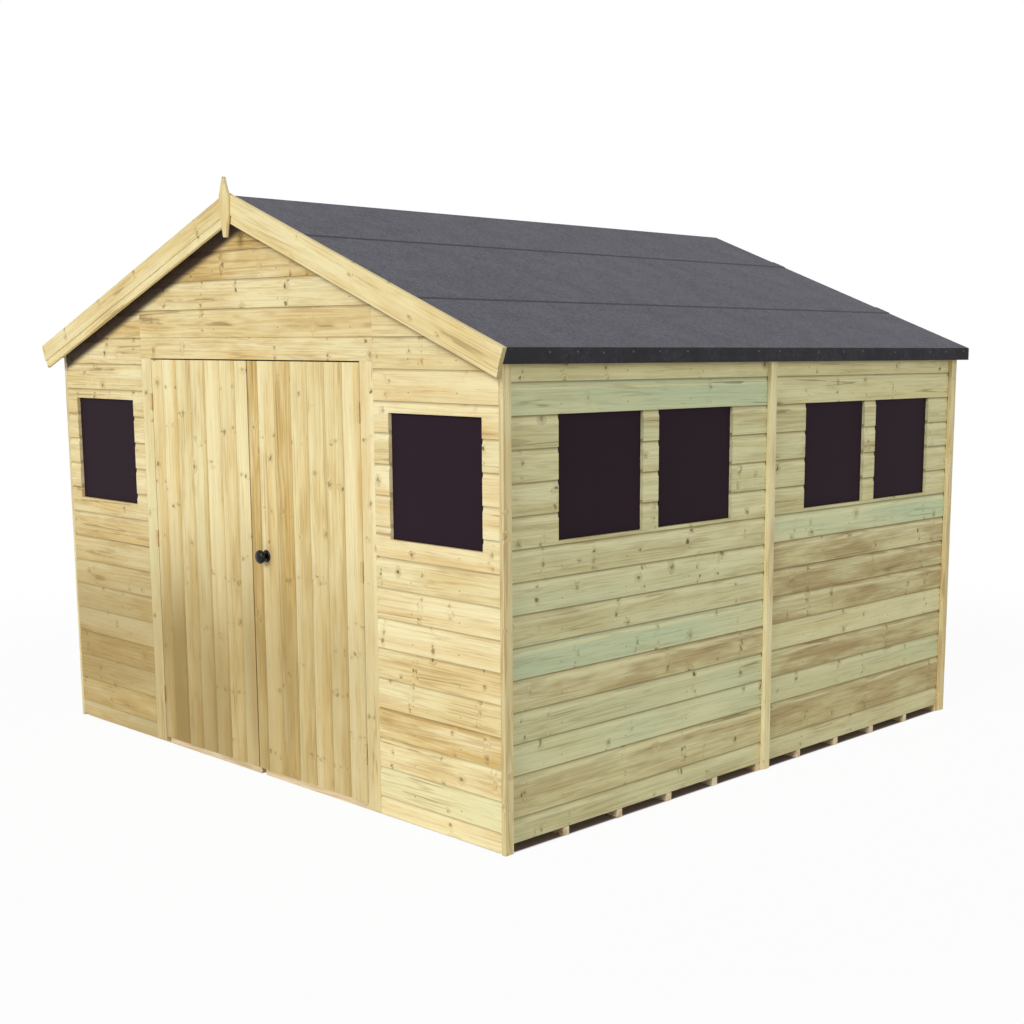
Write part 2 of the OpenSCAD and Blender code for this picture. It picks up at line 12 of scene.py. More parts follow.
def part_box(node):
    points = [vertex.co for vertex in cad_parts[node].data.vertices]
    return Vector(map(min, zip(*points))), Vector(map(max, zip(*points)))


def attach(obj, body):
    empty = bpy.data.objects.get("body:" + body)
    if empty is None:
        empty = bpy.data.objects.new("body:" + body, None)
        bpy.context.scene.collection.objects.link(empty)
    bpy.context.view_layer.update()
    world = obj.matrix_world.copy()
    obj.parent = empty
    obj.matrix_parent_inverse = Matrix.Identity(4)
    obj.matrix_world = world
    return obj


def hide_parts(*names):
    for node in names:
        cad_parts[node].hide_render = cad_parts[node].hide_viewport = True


bl_info = {
    "name": "Garden shed dresser",
    "version": (1, 0, 0),
    "blender": (4, 5, 0),
    "location": "View3D > Sidebar > Shed",
    "description": "Boards, felts, glazes and lights the packed garden shed",
    "category": "Object",
}

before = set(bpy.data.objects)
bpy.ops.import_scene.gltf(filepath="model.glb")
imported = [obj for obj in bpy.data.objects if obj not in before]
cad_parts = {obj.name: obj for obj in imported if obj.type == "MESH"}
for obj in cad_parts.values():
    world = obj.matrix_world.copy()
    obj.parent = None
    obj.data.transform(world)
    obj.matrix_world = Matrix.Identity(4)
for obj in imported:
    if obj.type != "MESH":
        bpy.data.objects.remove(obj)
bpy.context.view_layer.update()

RIGHT = (1, 0, 0)
BACK = (0, 1, 0)
UP = (0, 0, 1)
OUTWARD = {"front": (0, -1, 0), "back": BACK, "right": RIGHT, "left": (-1, 0, 0)}
HANDS = {"left": -1, "right": 1}

# Corners closer than this in metres are one, faces this flat are one, and edges this sharp are rounded
MERGE = 0.00005
FLAT = math.radians(0.1)
SHARP = math.radians(30)
# Steps of a rounded edge and of a cove, and sides of a nail head
EDGE_STEPS = 2
COVE_STEPS = 5
NAIL_SIDES = 8

# A face is a sawn end, or the lower edge of a board, if its normal has this much of that direction
END_GRAIN = 0.9
LOWER_EDGE = 0.7

# Each timber is cut from its own stretch of a trunk, up to this many metres away
TRUNK = 37
# Number, foot and cover of the row for timbers that don't lie in rows
NO_ROWS = (0, 0.0, 1000.0)
# Upright boards laid for each door, and how many of them lie to the left of its first lap
DOOR_BOARDS = 8
BOARDS_BEFORE = {"left": 6, "right": 1}
# Width of the camera's sensor in millimetres
SENSOR = 36

# The first seed of each group
SEEDS = {
    "front": 11, "sides": 21, "doors": 41, "floor": 51, "roof": 52, "timbers": 61, "nails": 31, "clouts": 5,
    "heads": 7}

FRONT_PANELS = ("front_left_panel", "front_right_panel", "front_gable_panel")
SIDE_PANELS = (
    "right_front_panel", "right_back_panel", "left_front_panel", "left_back_panel", "back_left_panel",
    "back_right_panel")
LOWER_FELT = ("felt_lower_left", "felt_lower_right")
UPPER_FELT = ("felt_upper_left", "felt_upper_right", "felt_ridge_cap")
PANES = ("front_panes", "right_panes", "left_panes")
BLACK_IRONWORK = ("door_rose", "door_knob", "latch_case", "latch_keep")
HINGES = ("hinge_posts", "left_hinge_leaves", "right_hinge_leaves")

# Green and brown of a timber, by how it took the preservative: pale, ordinary, mint, green, brown, half
# brown and clear. Clear timber has hardly any grain.
TINTS = {
    "p": (0.0, 0.0), "o": (0.20, 0.25), "m": (0.5, 0.10), "g": (0.8, 0.0), "b": (0.05, 0.7),
    "h": (0.05, 0.45), "c": (0.4, -0.25)}
# Tints of the boards from the lowest or leftmost. Other panels draw theirs.
BOARD_TINTS = {
    "front_left_panel": "obobpooooooooooobb",
    "front_right_panel": "pgobooppopppmppooob",
    "front_gable_panel": "ooobbb",
    "left_door": "ppoopop",
    "right_door": "bpbooop",
    "right_front_panel": "ohgmbgomooooogp",
    "right_back_panel": "obgbpbbbgoooopp",
}
DRAWN_TINTS = "poomgb"

# Slot and tint of each planed timber
TIMBERS = {
    "door_head_board": ("front_boards", "o"), "door_trims": ("front_boards", "c"),
    "corner_strips": ("strip_timber", "b"), "cover_strips": ("strip_timber", "p"),
    "front_frame": ("frame_timber", "o"), "right_frame": ("frame_timber", "o"),
    "left_frame": ("frame_timber", "o"), "back_frame": ("frame_timber", "o"),
    "floor_bearers": ("bearer_timber", "o"), "eaves_battens": ("roof_timber", "o"),
    "purlins": ("frame_timber", "o"), "roof_truss": ("frame_timber", "o"),
    "front_bargeboards": ("barge_timber", "o"), "back_bargeboards": ("barge_timber", "b"),
    "finial": ("barge_timber", "o"), "left_door_ledges": ("frame_timber", "o"),
    "right_door_ledges": ("frame_timber", "o")}
# The ledges ride on the doors, and the other timbers on the shed
LEDGE_BODIES = {"left_door_ledges": "left_leaf", "right_door_ledges": "right_leaf"}

# How dark the foot of a timber is, with dampness and painted shadow: in the middle of the shed, more for
# each metre along an axis, and within limits. The front is darkest at its left-hand end, where the painted
# shadow lies, and the sides at the back.
DAMP_AND_SHADOW = {
    "front": {"middle": 0.40, "slope": -0.42, "axis": 0, "least": 0.03, "most": 0.72},
    "doors": {"middle": 0.78, "slope": -0.45, "axis": 0, "least": 0.30, "most": 1.00},
    "door_trims": {"middle": 0.45, "slope": -0.10, "axis": 0, "least": 0.30, "most": 0.60},
    "sides": {"middle": 0.50, "slope": 0.25, "axis": 1, "least": 0.00, "most": 1.00},
}

# Where the columns of nails stand, in shares of a panel's length
NAIL_COLUMNS = {
    "front_left_panel": (0.315, 0.70),
    "front_right_panel": (0.30, 0.685),
    "front_gable_panel": (0.08, 0.36, 0.64, 0.92),
    "side": (0.02, 0.19, 0.42, 0.66, 0.98),
    "back": (0.02, 0.34, 0.67, 0.98),
}


def linear(*levels):
    """Scene-linear colour of an sRGB colour given in levels from 0 to 255."""
    shares = [level / 255 for level in levels]
    return tuple(s / 12.92 if s <= 0.04045 else ((s + 0.055) / 1.055) ** 2.4 for s in shares)


def size(name, default, description):
    """A length property in metres."""
    return bpy.props.FloatProperty(
        name=name, description=description, default=default, min=0, precision=4, unit="LENGTH")


def share(name, default, description):
    """A property from 0 to 1."""
    return bpy.props.FloatProperty(
        name=name, description=description, default=default, min=0, max=1, subtype="FACTOR")


def amount(name, default, description):
    """A plain property from 0 upwards."""
    return bpy.props.FloatProperty(name=name, description=description, default=default, min=0)


def angle(name, degrees, description):
    """An angle property, given in degrees."""
    return bpy.props.FloatProperty(
        name=name, description=description, default=math.radians(degrees), subtype="ANGLE")


def vector(name, default, description, subtype):
    """A place or a direction."""
    return bpy.props.FloatVectorProperty(
        name=name, description=description, default=default, subtype=subtype)


def colour(name, levels, description):
    """A colour property from sRGB levels."""
    return bpy.props.FloatVectorProperty(
        name=name, description=description, default=linear(*levels), min=0, max=1, size=3, subtype="COLOR")


class ShedSizes(bpy.types.PropertyGroup):
    """Sizes of the boards, nails and edges."""

    cover: size("Board cover", 0.1174, "Height of a wall board between two laps")
    front_lap: size("Front lap", 0.0900, "Height of the lowest lap of the front boards")
    side_lap: size("Side lap", 0.2865, "Height of the second lap of the side boards")
    plinth_lap: size("Plinth lap", 0.1290, "Height of the lowest lap of the side boards")
    cove_height: size("Cove height", 0.0200, "Height of the cove along the upper edge of a wall board")
    door_cove: size("Door cove", 0.0120, "Width of the cove along one edge of a door board")
    cove_depth: size("Cove depth", 0.0042, "Depth of the cove behind the face of a board")
    lap_shadow: size("Lap shadow", 0.0022, "Height of the flat ground between the cove and the next board")
    # Height of the painted shade in each lap, just under the next board
    painted_lap_shade: size("Lap dirt", 0.0120, "Height of the dirt under the next board")
    tongue: size("Tongue", 0.0080, "How far a board runs up behind the next one")
    lap_room: size("Lap room", 0.0006, "Room between two boards at the lap")
    skin: size("Skin", 0.0002, "How far the boards' faces lie inside the panel")
    door_cover: size("Door board cover", 0.1120, "Width of a door board between two laps")
    right_door_lap: size("Right door lap", 0.0750, "Distance of the right door's first lap from the middle")
    left_door_lap: size("Left door lap", 0.0900, "Distance of the left door's first lap from the middle")
    deck_cover: size("Deck board cover", 0.1200, "Width of a floor or roof board")
    groove: size("Groove", 0.0030, "Width and depth of the groove between two floor or roof boards")
    edge: size("Planed edge", 0.0018, "Rounding of a planed timber's edges")
    # Painted shadow below the bargeboards and under the felt's fold: how far it reaches and where it is full
    verge_reach: size("Verge reach", 0.0460, "How far below the bargeboards the dark boards reach")
    verge_full: size("Verge full", 0.0100, "How far below the bargeboards the boards are darkest")
    eaves_reach: size("Eaves reach", 0.0160, "How far below the felt's fold the dark boards reach")
    eaves_full: size("Eaves full", 0.0010, "How far below the felt's fold the boards are darkest")
    eaves_inset: size("Eaves inset", 0.0200, "How deep behind the wall's face those boards are dark")
    # Heights of the darkening near the ground, from dampness and painted shadow
    damp_and_shadow_full: size("Damp full", 0.4500, "Height below which the timber is dampest")
    damp_and_shadow_end: size("Damp end", 1.3000, "Height above which the timber is dry")
    nail: size("Nail head", 0.0026, "Radius of a nail head")
    nail_rise: size("Nail height", 0.0320, "Height of a nail above the lower edge of its board")
    nail_lift: size("Nail lift", 0.0060, "How much higher a nail may sit by chance")
    nail_stray: size("Nail stray", 0.0080, "Width over which the nails of a column stray")
    nail_margin: size("Nail margin", 0.0120, "Least timber round a nail")
    head_rise: size("Head rise", 0.0006, "How far a nail head stands out")
    clout: size("Clout head", 0.0042, "Radius of a felt nail's head")
    clout_gap: size("Clout gap", 0.1500, "Distance between two felt nails")
    clout_start: size("Clout start", 0.0500, "Distance of the first felt nail from the front of the felt")
    clout_end: size("Clout end", 0.0300, "Least distance of the last felt nail from the back of the felt")
    clout_height: size("Clout height", 0.0360, "Height of a felt nail above the foot of the fold")
    clout_lift: size("Clout lift", 0.0080, "How much higher a felt nail may sit by chance")
    clout_stray: size("Clout stray", 0.0400, "How much farther back a felt nail may sit by chance")
    clouts_seen: share("Clouts seen", 0.7, "Share of the felt nails that show")
    fold_turn: size("Fold turn", 0.0060, "Depth over which the felt turns down at the eaves")
    bead_width: size("Felt bead", 0.0090, "Width of the adhesive that shows along a felt lap")
    bead_rise: size("Felt bead rise", 0.0012, "Height of that adhesive")
    bead_seat: size("Felt bead seat", 0.0020, "Strip of a sheet that its adhesive sits under")


class ShedColours(bpy.types.PropertyGroup):
    """Colours of the finishes, as they look in plain light."""

    front_pale: colour("Front pale", (243, 231, 183), "Palest pine of the front")
    front_warm: colour("Front warm", (227, 199, 138), "Warm pine of the front")
    front_green: colour("Front green", (228, 224, 174), "Pine of the front with most preservative")
    door_pale: colour("Door pale", (242, 229, 178), "Palest pine of the doors and bargeboards")
    door_warm: colour("Door warm", (226, 198, 132), "Warm pine of the doors and bargeboards")
    front_olive: colour("Front olive", (205, 175, 106), "Streaky heartwood of the front")
    side_pale: colour("Side pale", (225, 220, 173), "Palest pine of the side walls")
    side_warm: colour("Side warm", (210, 202, 147), "Warm pine of the side walls")
    side_green: colour("Side green", (190, 206, 167), "Pine that took most of the preservative")
    side_brown: colour("Side brown", (174, 152, 107), "Streaky heartwood of the side walls")
    strip_pale: colour("Strip pale", (237, 228, 182), "Pale pine of the strips")
    strip_warm: colour("Strip warm", (210, 194, 141), "Warm pine of the strips")
    late_wood: colour("Late wood", (170, 130, 76), "Dark lines of the grain")
    side_late: colour("Side late wood", (150, 130, 88), "Dark lines of the grain of the side walls")
    knot: colour("Knot", (104, 78, 42), "Middle of a knot")
    side_knot: colour("Side knot", (88, 80, 50), "Middle of a knot of the side walls")
    # Colour of the darkening near the ground, from dampness and painted shadow
    damp_and_shadow: colour("Damp", (150, 126, 74), "Pine that is damp near the ground")
    # Colour of the painted shade in the laps, on the boards' lower edges and on the bargeboards' sawn ends
    painted_lap_shade: colour("Lap dirt", (128, 110, 66), "Ground of the laps")
    # Colour of the painted shadow behind the bargeboards and under the felt's fold
    painted_shadow: colour("Shelter", (62, 46, 50), "Boards that stayed dark behind the bargeboards and the fold")
    bearer_pale: colour("Bearer pale", (246, 236, 208), "Sawn ends and faces of the bearers")
    bearer_warm: colour("Bearer warm", (222, 200, 160), "Damp sawn timber of the bearers")
    felt_dark: colour("Felt dark", (52, 52, 57), "Dark mineral grains")
    felt_pale: colour("Felt pale", (136, 136, 146), "Pale mineral grains")
    bitumen: colour("Bitumen", (31, 30, 33), "Adhesive along the laps")
    pane_dark: colour("Pane dark", (38, 27, 35), "Darkest part of a pane")
    pane_pale: colour("Pane pale", (44, 32, 40), "Palest part of a pane")
    iron: colour("Iron", (9, 9, 10), "Black paint of the knob and latch")
    zinc: colour("Zinc", (222, 196, 140), "Yellow zinc of the hinges")
    clout_grey: colour("Clout grey", (92, 92, 95), "Zinc of the felt nails")
    nail_dark: colour("Nail dark", (146, 122, 86), "Dulled nail heads in the boards")


class ShedGrain(bpy.types.PropertyGroup):
    """How strongly the timber is marked."""

    rings: amount("Rings", 48, "How closely the year rings lie")
    bend: share("Ring bend", 0.12, "How far the rings bend round a knot")
    streaks: share("Streaks", 0.09, "Least darkness of the late wood")
    patch_streaks: share("Patch streaks", 0.24, "Darkness that patches add to the late wood")
    brown_streaks: share("Brown streaks", 0.34, "Darkness that brown timber adds to the late wood")
    fibres: share("Fibres", 0.34, "Darkness of the fibres")
    dashes: share("Dashes", 0.22, "Darkness of the short dashes")
    cracks: share("Cracks", 0.50, "Darkness of the cracks")
    halos: share("Halos", 0.30, "Darkness of the timber round a knot")
    cores: share("Cores", 0.90, "Darkness of the knots")
    # Strengths of the painted shadow behind the bargeboards and under the felt's fold
    verge: share("Verge", 0.92, "Darkness of the boards behind the bargeboards")
    eaves: share("Eaves", 0.30, "Darkness of the boards under the felt's fold")
    # Strength of the painted shade on the bargeboards' sawn ends
    barge_end_shade: share("Barge ends", 0.55, "Dirt on the sawn ends of the bargeboards")
    # Strength of the painted shade on the boards' lower edges
    lower_edge_shade: share("Lower edges", 0.60, "Dirt on the lower edges of the boards")
    relief: size("Relief", 0.0009, "Depth of the grain")


class ShedStage(bpy.types.PropertyGroup):
    """Camera, lamps, floor and background."""

    place: vector("Camera place", (5.2493, -5.0458, 1.8137), "Where the camera stands", "TRANSLATION")
    aim: vector("Camera aim", (1.1940, -0.7244, 0.8753), "Where the camera points", "TRANSLATION")
    roll: angle("Camera roll", 0.123, "Turn of the camera about its view")
    lens: bpy.props.FloatProperty(
        name="Lens", description="Focal length on a 36 mm wide sensor", default=52.276, unit="CAMERA")
    shift: bpy.props.FloatVectorProperty(
        name="Shift", description="Shift of the view in widths of the picture", size=2,
        default=(-0.0779, 0.0689))
    sky: share("Sky", 0.36, "Level of the light from all round")
    key: amount("Key", 1.9, "Strength of the key lamp")
    key_from: vector("Key from", (0.12, -0.88, 0.42), "Where the key lamp shines from", "DIRECTION")
    fill: amount("Fill", 0.72, "Strength of the fill lamp")
    fill_from: vector("Fill from", (0.95, -0.10, 0.20), "Where the fill lamp shines from", "DIRECTION")
    lamp_spread: angle("Lamp spread", 26, "Angle that each lamp covers")
    floor_half: size("Floor half", 60, "Half the length of the floor")
    floor_grey: share("Floor grey", 0.9, "Level of the floor's own grey")
    floor_white: share("Floor white", 0.95, "How far the seen floor is lifted to white near the shed")
    white_from: size("White from", 3.0, "Distance at which the floor starts to turn all white")
    white_to: size("White to", 6.0, "Distance at which the floor is all white")
    # Painted shade on the floor under the shed: its colour, and how far inside and outside the walls it
    # fades
    under: colour("Under", (150, 134, 124), "Ground under the shed")
    under_inset: size("Under inset", 0.012, "How far inside the walls that ground starts to fade")
    under_reach: size("Under reach", 0.004, "How far outside the walls that ground ends")
    front_gap: size("Front gap", 0.060, "How far the pale floor runs in under the front")
    front_fade: size("Front fade", 0.016, "Width over which the ground fades under the front")


class Value:
    """A socket in a node tree. Arithmetic on it adds Math nodes."""

    def __init__(self, nodes, socket):
        self.nodes = nodes
        self.socket = socket

    def math(self, operation, *others):
        """This value and others through a Math node."""
        return self.nodes.add("ShaderNodeMath", {"operation": operation}, dict(enumerate((self,) + others)))

    def reverse(self, operation, other):
        """As math, with the other value first."""
        return self.nodes.add("ShaderNodeMath", {"operation": operation}, {0: other, 1: self})

    def __add__(self, other):
        return self.math("ADD", other)

    def __radd__(self, other):
        return self.reverse("ADD", other)

    def __sub__(self, other):
        return self.math("SUBTRACT", other)

    def __rsub__(self, other):
        return self.reverse("SUBTRACT", other)

    def __mul__(self, other):
        return self.math("MULTIPLY", other)

    def __rmul__(self, other):
        return self.reverse("MULTIPLY", other)

    def __truediv__(self, other):
        return self.math("DIVIDE", other)

    def __rtruediv__(self, other):
        return self.reverse("DIVIDE", other)

    def most(self, other):
        """The larger of two values."""
        return self.math("MAXIMUM", other)

    def unsigned(self):
        """The value without its sign."""
        return self.math("ABSOLUTE")

    def between(self, low, high):
        """0 below low, 1 above high and a smooth rise between them."""
        return self.nodes.add(
            "ShaderNodeMapRange", {"interpolation_type": "SMOOTHSTEP"},
            {"Value": self, "From Min": low, "From Max": high})

    def part(self, name):
        """One of X, Y and Z of a vector."""
        return self.nodes.add("ShaderNodeSeparateXYZ", {}, {0: self}, name)

    def beside(self, name):
        """Another output of the node that this value comes from."""
        return Value(self.nodes, self.socket.node.outputs[name])


class Nodes:
    """Adds nodes to one tree."""

    def __init__(self, tree):
        self.tree = tree
        tree.nodes.clear()

    @staticmethod
    def find(sockets, key):
        """The socket at an index, or the first in use with that identifier or name."""
        if isinstance(key, int):
            return sockets[key]
        return next(s for s in sockets if s.enabled and key in (s.identifier, s.name))

    def add(self, kind, settings=None, inputs=None, output=0):
        """A node of that kind: its settings come first, then the values or links of its sockets."""
        node = self.tree.nodes.new(kind)
        for name, value in (settings or {}).items():
            setattr(node, name, value)
        for key, value in (inputs or {}).items():
            socket = self.find(node.inputs, key)
            if isinstance(value, Value):
                self.tree.links.new(value.socket, socket)
            elif socket.type == "RGBA":
                socket.default_value = (*value[:3], 1)
            else:
                socket.default_value = value
        return Value(self, self.find(node.outputs, output)) if node.outputs else None

    def mix(self, factor, first, second):
        """Two colours mixed."""
        return self.add(
            "ShaderNodeMix", {"data_type": "RGBA"},
            {"Factor_Float": factor, "A_Color": first, "B_Color": second}, "Result_Color")

    def vector(self, operation, *parts, output=0, **named):
        """Vectors through a Vector Math node."""
        return self.add(
            "ShaderNodeVectorMath", {"operation": operation}, {**dict(enumerate(parts)), **named}, output)

    def noise(self, place, scale, detail=2.0, roughness=0.5, distortion=0.0):
        """Smooth noise of about 0 to 1."""
        inputs = {
            "Vector": place, "Scale": scale, "Detail": detail, "Roughness": roughness,
            "Distortion": distortion}
        return self.add("ShaderNodeTexNoise", {}, inputs)

    def cells(self, place, scale, output="Distance", dimensions="3D"):
        """Cells round scattered points. In one dimension the place is a number."""
        socket = "W" if dimensions == "1D" else "Vector"
        settings = {"voronoi_dimensions": dimensions}
        return self.add("ShaderNodeTexVoronoi", settings, {socket: place, "Scale": scale}, output)

    def attribute(self, name, output="Vector"):
        """A value kept on the mesh's faces."""
        return self.add("ShaderNodeAttribute", {"attribute_name": name}, {}, output)

    def place(self):
        """Where a point lies on the shed."""
        return self.add("ShaderNodeTexCoord", {}, {}, "Object")

    def bump(self, height, distance, strength):
        """A normal pushed about by a height."""
        inputs = {"Height": height, "Distance": distance, "Strength": strength}
        return self.add("ShaderNodeBump", {}, inputs)

    def surface(self, **sockets):
        """A Principled surface as the material's output. Underscores stand for spaces."""
        inputs = {name.replace("_", " "): value for name, value in sockets.items()}
        shader = self.add("ShaderNodeBsdfPrincipled", {}, inputs)
        self.add("ShaderNodeOutputMaterial", {}, {"Surface": shader})


def new_finish(name):
    """The nodes of a new material, which is marked with its name because Blender may number it."""
    material = bpy.data.materials.new(name)
    material["shed_finish"] = name
    material.use_nodes = True
    return Nodes(material.node_tree)


def barge_foot():
    """Height of the front bargeboards' lower edges at the middle, and their fall for each metre outwards."""
    bm = node_copy("roof_boards_right")
    slope = top_face(bm).normal
    fall = slope.x / slope.z
    bm.free()
    foot = min((v.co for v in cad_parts["front_bargeboards"].data.vertices), key=lambda co: co.z)
    return foot.z + abs(foot.x) * fall, fall


def verge_painted_shadow(place):
    """Painted shadow on the boards behind the front bargeboards and just below them."""
    scene = bpy.context.scene
    s = scene.shed_sizes
    foot, fall = barge_foot()
    above = place.part("Z") + place.part("X").unsigned() * fall - foot
    return above.between(-s.verge_reach, -s.verge_full) * scene.shed_grain.verge


def eaves_painted_shadow(place):
    """Painted shadow on the side walls' boards close under the fold of the felt."""
    scene = bpy.context.scene
    s = scene.shed_sizes
    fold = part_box("felt_lower_right")[0].z
    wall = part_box("right_front_panel")[1].x
    on_wall = place.part("X").unsigned().between(wall - 1.5 * s.eaves_inset, wall - s.eaves_inset)
    under = place.part("Z").between(fold - s.eaves_reach, fold - s.eaves_full)
    return on_wall * under * scene.shed_grain.eaves


def knots(nodes, place, along, crosswise):
    """Cores and halos of the knots: single ones, and whorls of small ones across a board."""
    wander = 0.03
    aside = nodes.vector("DOT_PRODUCT", crosswise, (1, 1, 1), output="Value")
    drift = nodes.noise(place, scale=45, detail=2, roughness=0.6).beside("Color")
    along = along + (drift.part("X") - 0.5) * wander
    aside = aside + (drift.part("Y") - 0.5) * wander
    face = nodes.add("ShaderNodeCombineXYZ", {}, {"X": along, "Y": aside})

    def spots(scale, held, least, spread, soft=0.02, faintest=0.35, halo=3):
        """Spots in a share of the cells, with their radii in cells."""
        far = nodes.cells(face, scale, dimensions="2D")
        draw = far.beside("Color")
        kept = draw.part("X").between(1 - soft - held, 1 + soft - held)
        reach = least + spread * draw.part("Y")
        depth = faintest + (1 - faintest) * draw.part("Z")
        core = kept * depth * (1 - far.between(reach * 0.5, reach))
        return core, kept * (1 - far.between(reach, reach * halo))

    single, single_halo = spots(scale=6, held=0.30, least=0.030, spread=0.045)
    small, small_halo = spots(scale=27, held=0.68, least=0.13, spread=0.20)
    whorl = nodes.cells(along, scale=3.8, dimensions="1D")
    chosen = whorl.beside("Color").part("X").between(0.25, 0.35)
    band = chosen * (1 - whorl.between(0.03, 0.08))
    return single.most(small * band), single_halo.most(small_halo * band * 0.6)


def row_marks(nodes, place, across, lap):
    """For boards in rows: share of the board's width, painted shade under the next board, and the band of
    the cove below it that takes a painted highlight.
    """
    height = bpy.context.scene.shed_sizes.painted_lap_shade
    row = nodes.attribute("row")
    cover = row.part("Y")
    risen = place.part(across) - row.part("X")
    below = cover - risen
    # Painted shade just under the next board; the band of the cove below it takes a painted highlight
    painted_shade = (1 - below.between(0.3 * height, height)) * lap
    cove = below.between(height, 1.7 * height) * (1 - below.between(2.0 * height, 3.2 * height))
    return risen / cover, painted_shade, cove


def pine(name, pale, warm, green, brown, splash_and_shadow=0.0, knotty=1.0, across=None, painted_board_shade=0.0, lap=0.0, cove_highlight=0.0,
         marks=None, painted_shadow=None):
    """Pine with grain, knots and blotches.

    Near the ground splash darkens it with dampness and, over the lower left of the front, with painted
    shadow.
    Boards in rows are stacked along across: lean is painted shade that warms each board over its width, lap
    is the strength of the painted shade under the next board, and glow is the strength of the painted
    highlight on the cove below it. Marks are the colours of the late wood and the knots. The places of
    painted shadow come from shelter.
    """
    scene = bpy.context.scene
    s = scene.shed_sizes
    grain = scene.shed_grain
    colours = scene.shed_colours
    late_wood, knot = marks or (colours.late_wood, colours.knot)
    nodes = new_finish(name)
    place = nodes.place()
    tint = nodes.attribute("tint")
    way = nodes.attribute("grain")
    timber = nodes.vector("MULTIPLY_ADD", nodes.attribute("board"), (TRUNK,) * 3, place)
    along = nodes.vector("DOT_PRODUCT", timber, way, output="Value")
    lengthwise = nodes.vector("SCALE", way, Scale=along)
    crosswise = nodes.vector("SUBTRACT", timber, lengthwise)

    def drawn(stretch, **noise):
        """Noise drawn out along the grain."""
        return nodes.noise(nodes.vector("MULTIPLY_ADD", lengthwise, (stretch,) * 3, crosswise), **noise)

    def uneven(mask):
        """A share of a tint: weak where the mask is 0 and full where it is 1."""
        return 0.25 + 0.9 * mask

    core, halo = knots(nodes, place, along, crosswise)
    figure = drawn(0.032, scale=22, detail=2.5, roughness=0.55, distortion=0.35)
    rings = ((figure + halo * grain.bend) * grain.rings).math("SINE") * 0.5 + 0.5
    fibre = drawn(0.014, scale=190, detail=3, roughness=0.65)
    dashes = drawn(0.05, scale=230, detail=2, roughness=0.5).between(0.60, 0.72)
    bands = drawn(0.02, scale=20, detail=1.5, roughness=0.4).between(0.34, 0.66)
    patches = drawn(0.2, scale=12, detail=3, roughness=0.6)
    stain = drawn(0.3, scale=2.1, detail=3, roughness=0.55).between(0.34, 0.66)
    split = (drawn(0.015, scale=14, detail=1, roughness=0.4) - 0.5).unsigned()
    cracks = (1 - split.between(0.003, 0.014)) * patches.between(0.54, 0.62)

    warmth = bands * 0.5 + patches.between(0.36, 0.66) * 0.45 + tint.part("Y") * 0.3 - 0.1
    # Painted shade kept on the faces: lower edges of the boards and sawn ends of the bargeboards
    painted_shade = nodes.attribute("lap", "Fac")
    if across:
        risen, painted_lap_shade, cove = row_marks(nodes, place, across, lap)
        # Painted shade over each board's width: warmer towards one edge, paler towards the other
        warmth = warmth + (risen - 0.5) * painted_board_shade
        painted_shade = painted_shade.most(painted_lap_shade)
    hue = nodes.mix(warmth, pale, warm)
    hue = nodes.mix(tint.part("X") * uneven(stain), hue, green)
    hue = nodes.mix(tint.part("Y") * uneven(patches.between(0.36, 0.64)), hue, brown)
    if across:
        # Painted highlight on the cove below each lap
        hue = nodes.mix(cove * cove_highlight, hue, pale)
    depth = grain.streaks + grain.patch_streaks * patches.between(0.42, 0.72)
    depth = depth + grain.brown_streaks * tint.part("Y")
    hue = nodes.mix(rings.between(0.45, 1.0) * depth, hue, late_wood)
    hue = nodes.mix(fibre.between(0.5, 0.78) * grain.fibres + dashes * grain.dashes, hue, late_wood)
    hue = nodes.mix(cracks * (grain.cracks * knotty), hue, knot)
    hue = nodes.mix(halo * (grain.halos * knotty), hue, late_wood)
    hue = nodes.mix(core * (grain.cores * knotty), hue, knot)
    # Darker near the ground with dampness, and over the lower left of the front with painted shadow
    low = 1 - place.part("Z").between(s.damp_and_shadow_full, s.damp_and_shadow_end)
    hue = nodes.mix(low * splash_and_shadow * tint.part("Z") * (0.7 + 0.4 * stain), hue, colours.damp_and_shadow)
    # Painted shade in the laps, on the lower edges and on the bargeboards' sawn ends
    hue = nodes.mix(painted_shade, hue, colours.painted_lap_shade)
    # Painted shadow behind the bargeboards and under the felt's fold
    if painted_shadow:
        hue = nodes.mix(painted_shadow(place), hue, colours.painted_shadow)
    height = rings * 0.25 + fibre * 0.9 - core * 0.4
    nodes.surface(
        Base_Color=hue, Roughness=0.58 + 0.22 * fibre, Specular_IOR_Level=0.28,
        Normal=nodes.bump(height, distance=grain.relief, strength=0.30))


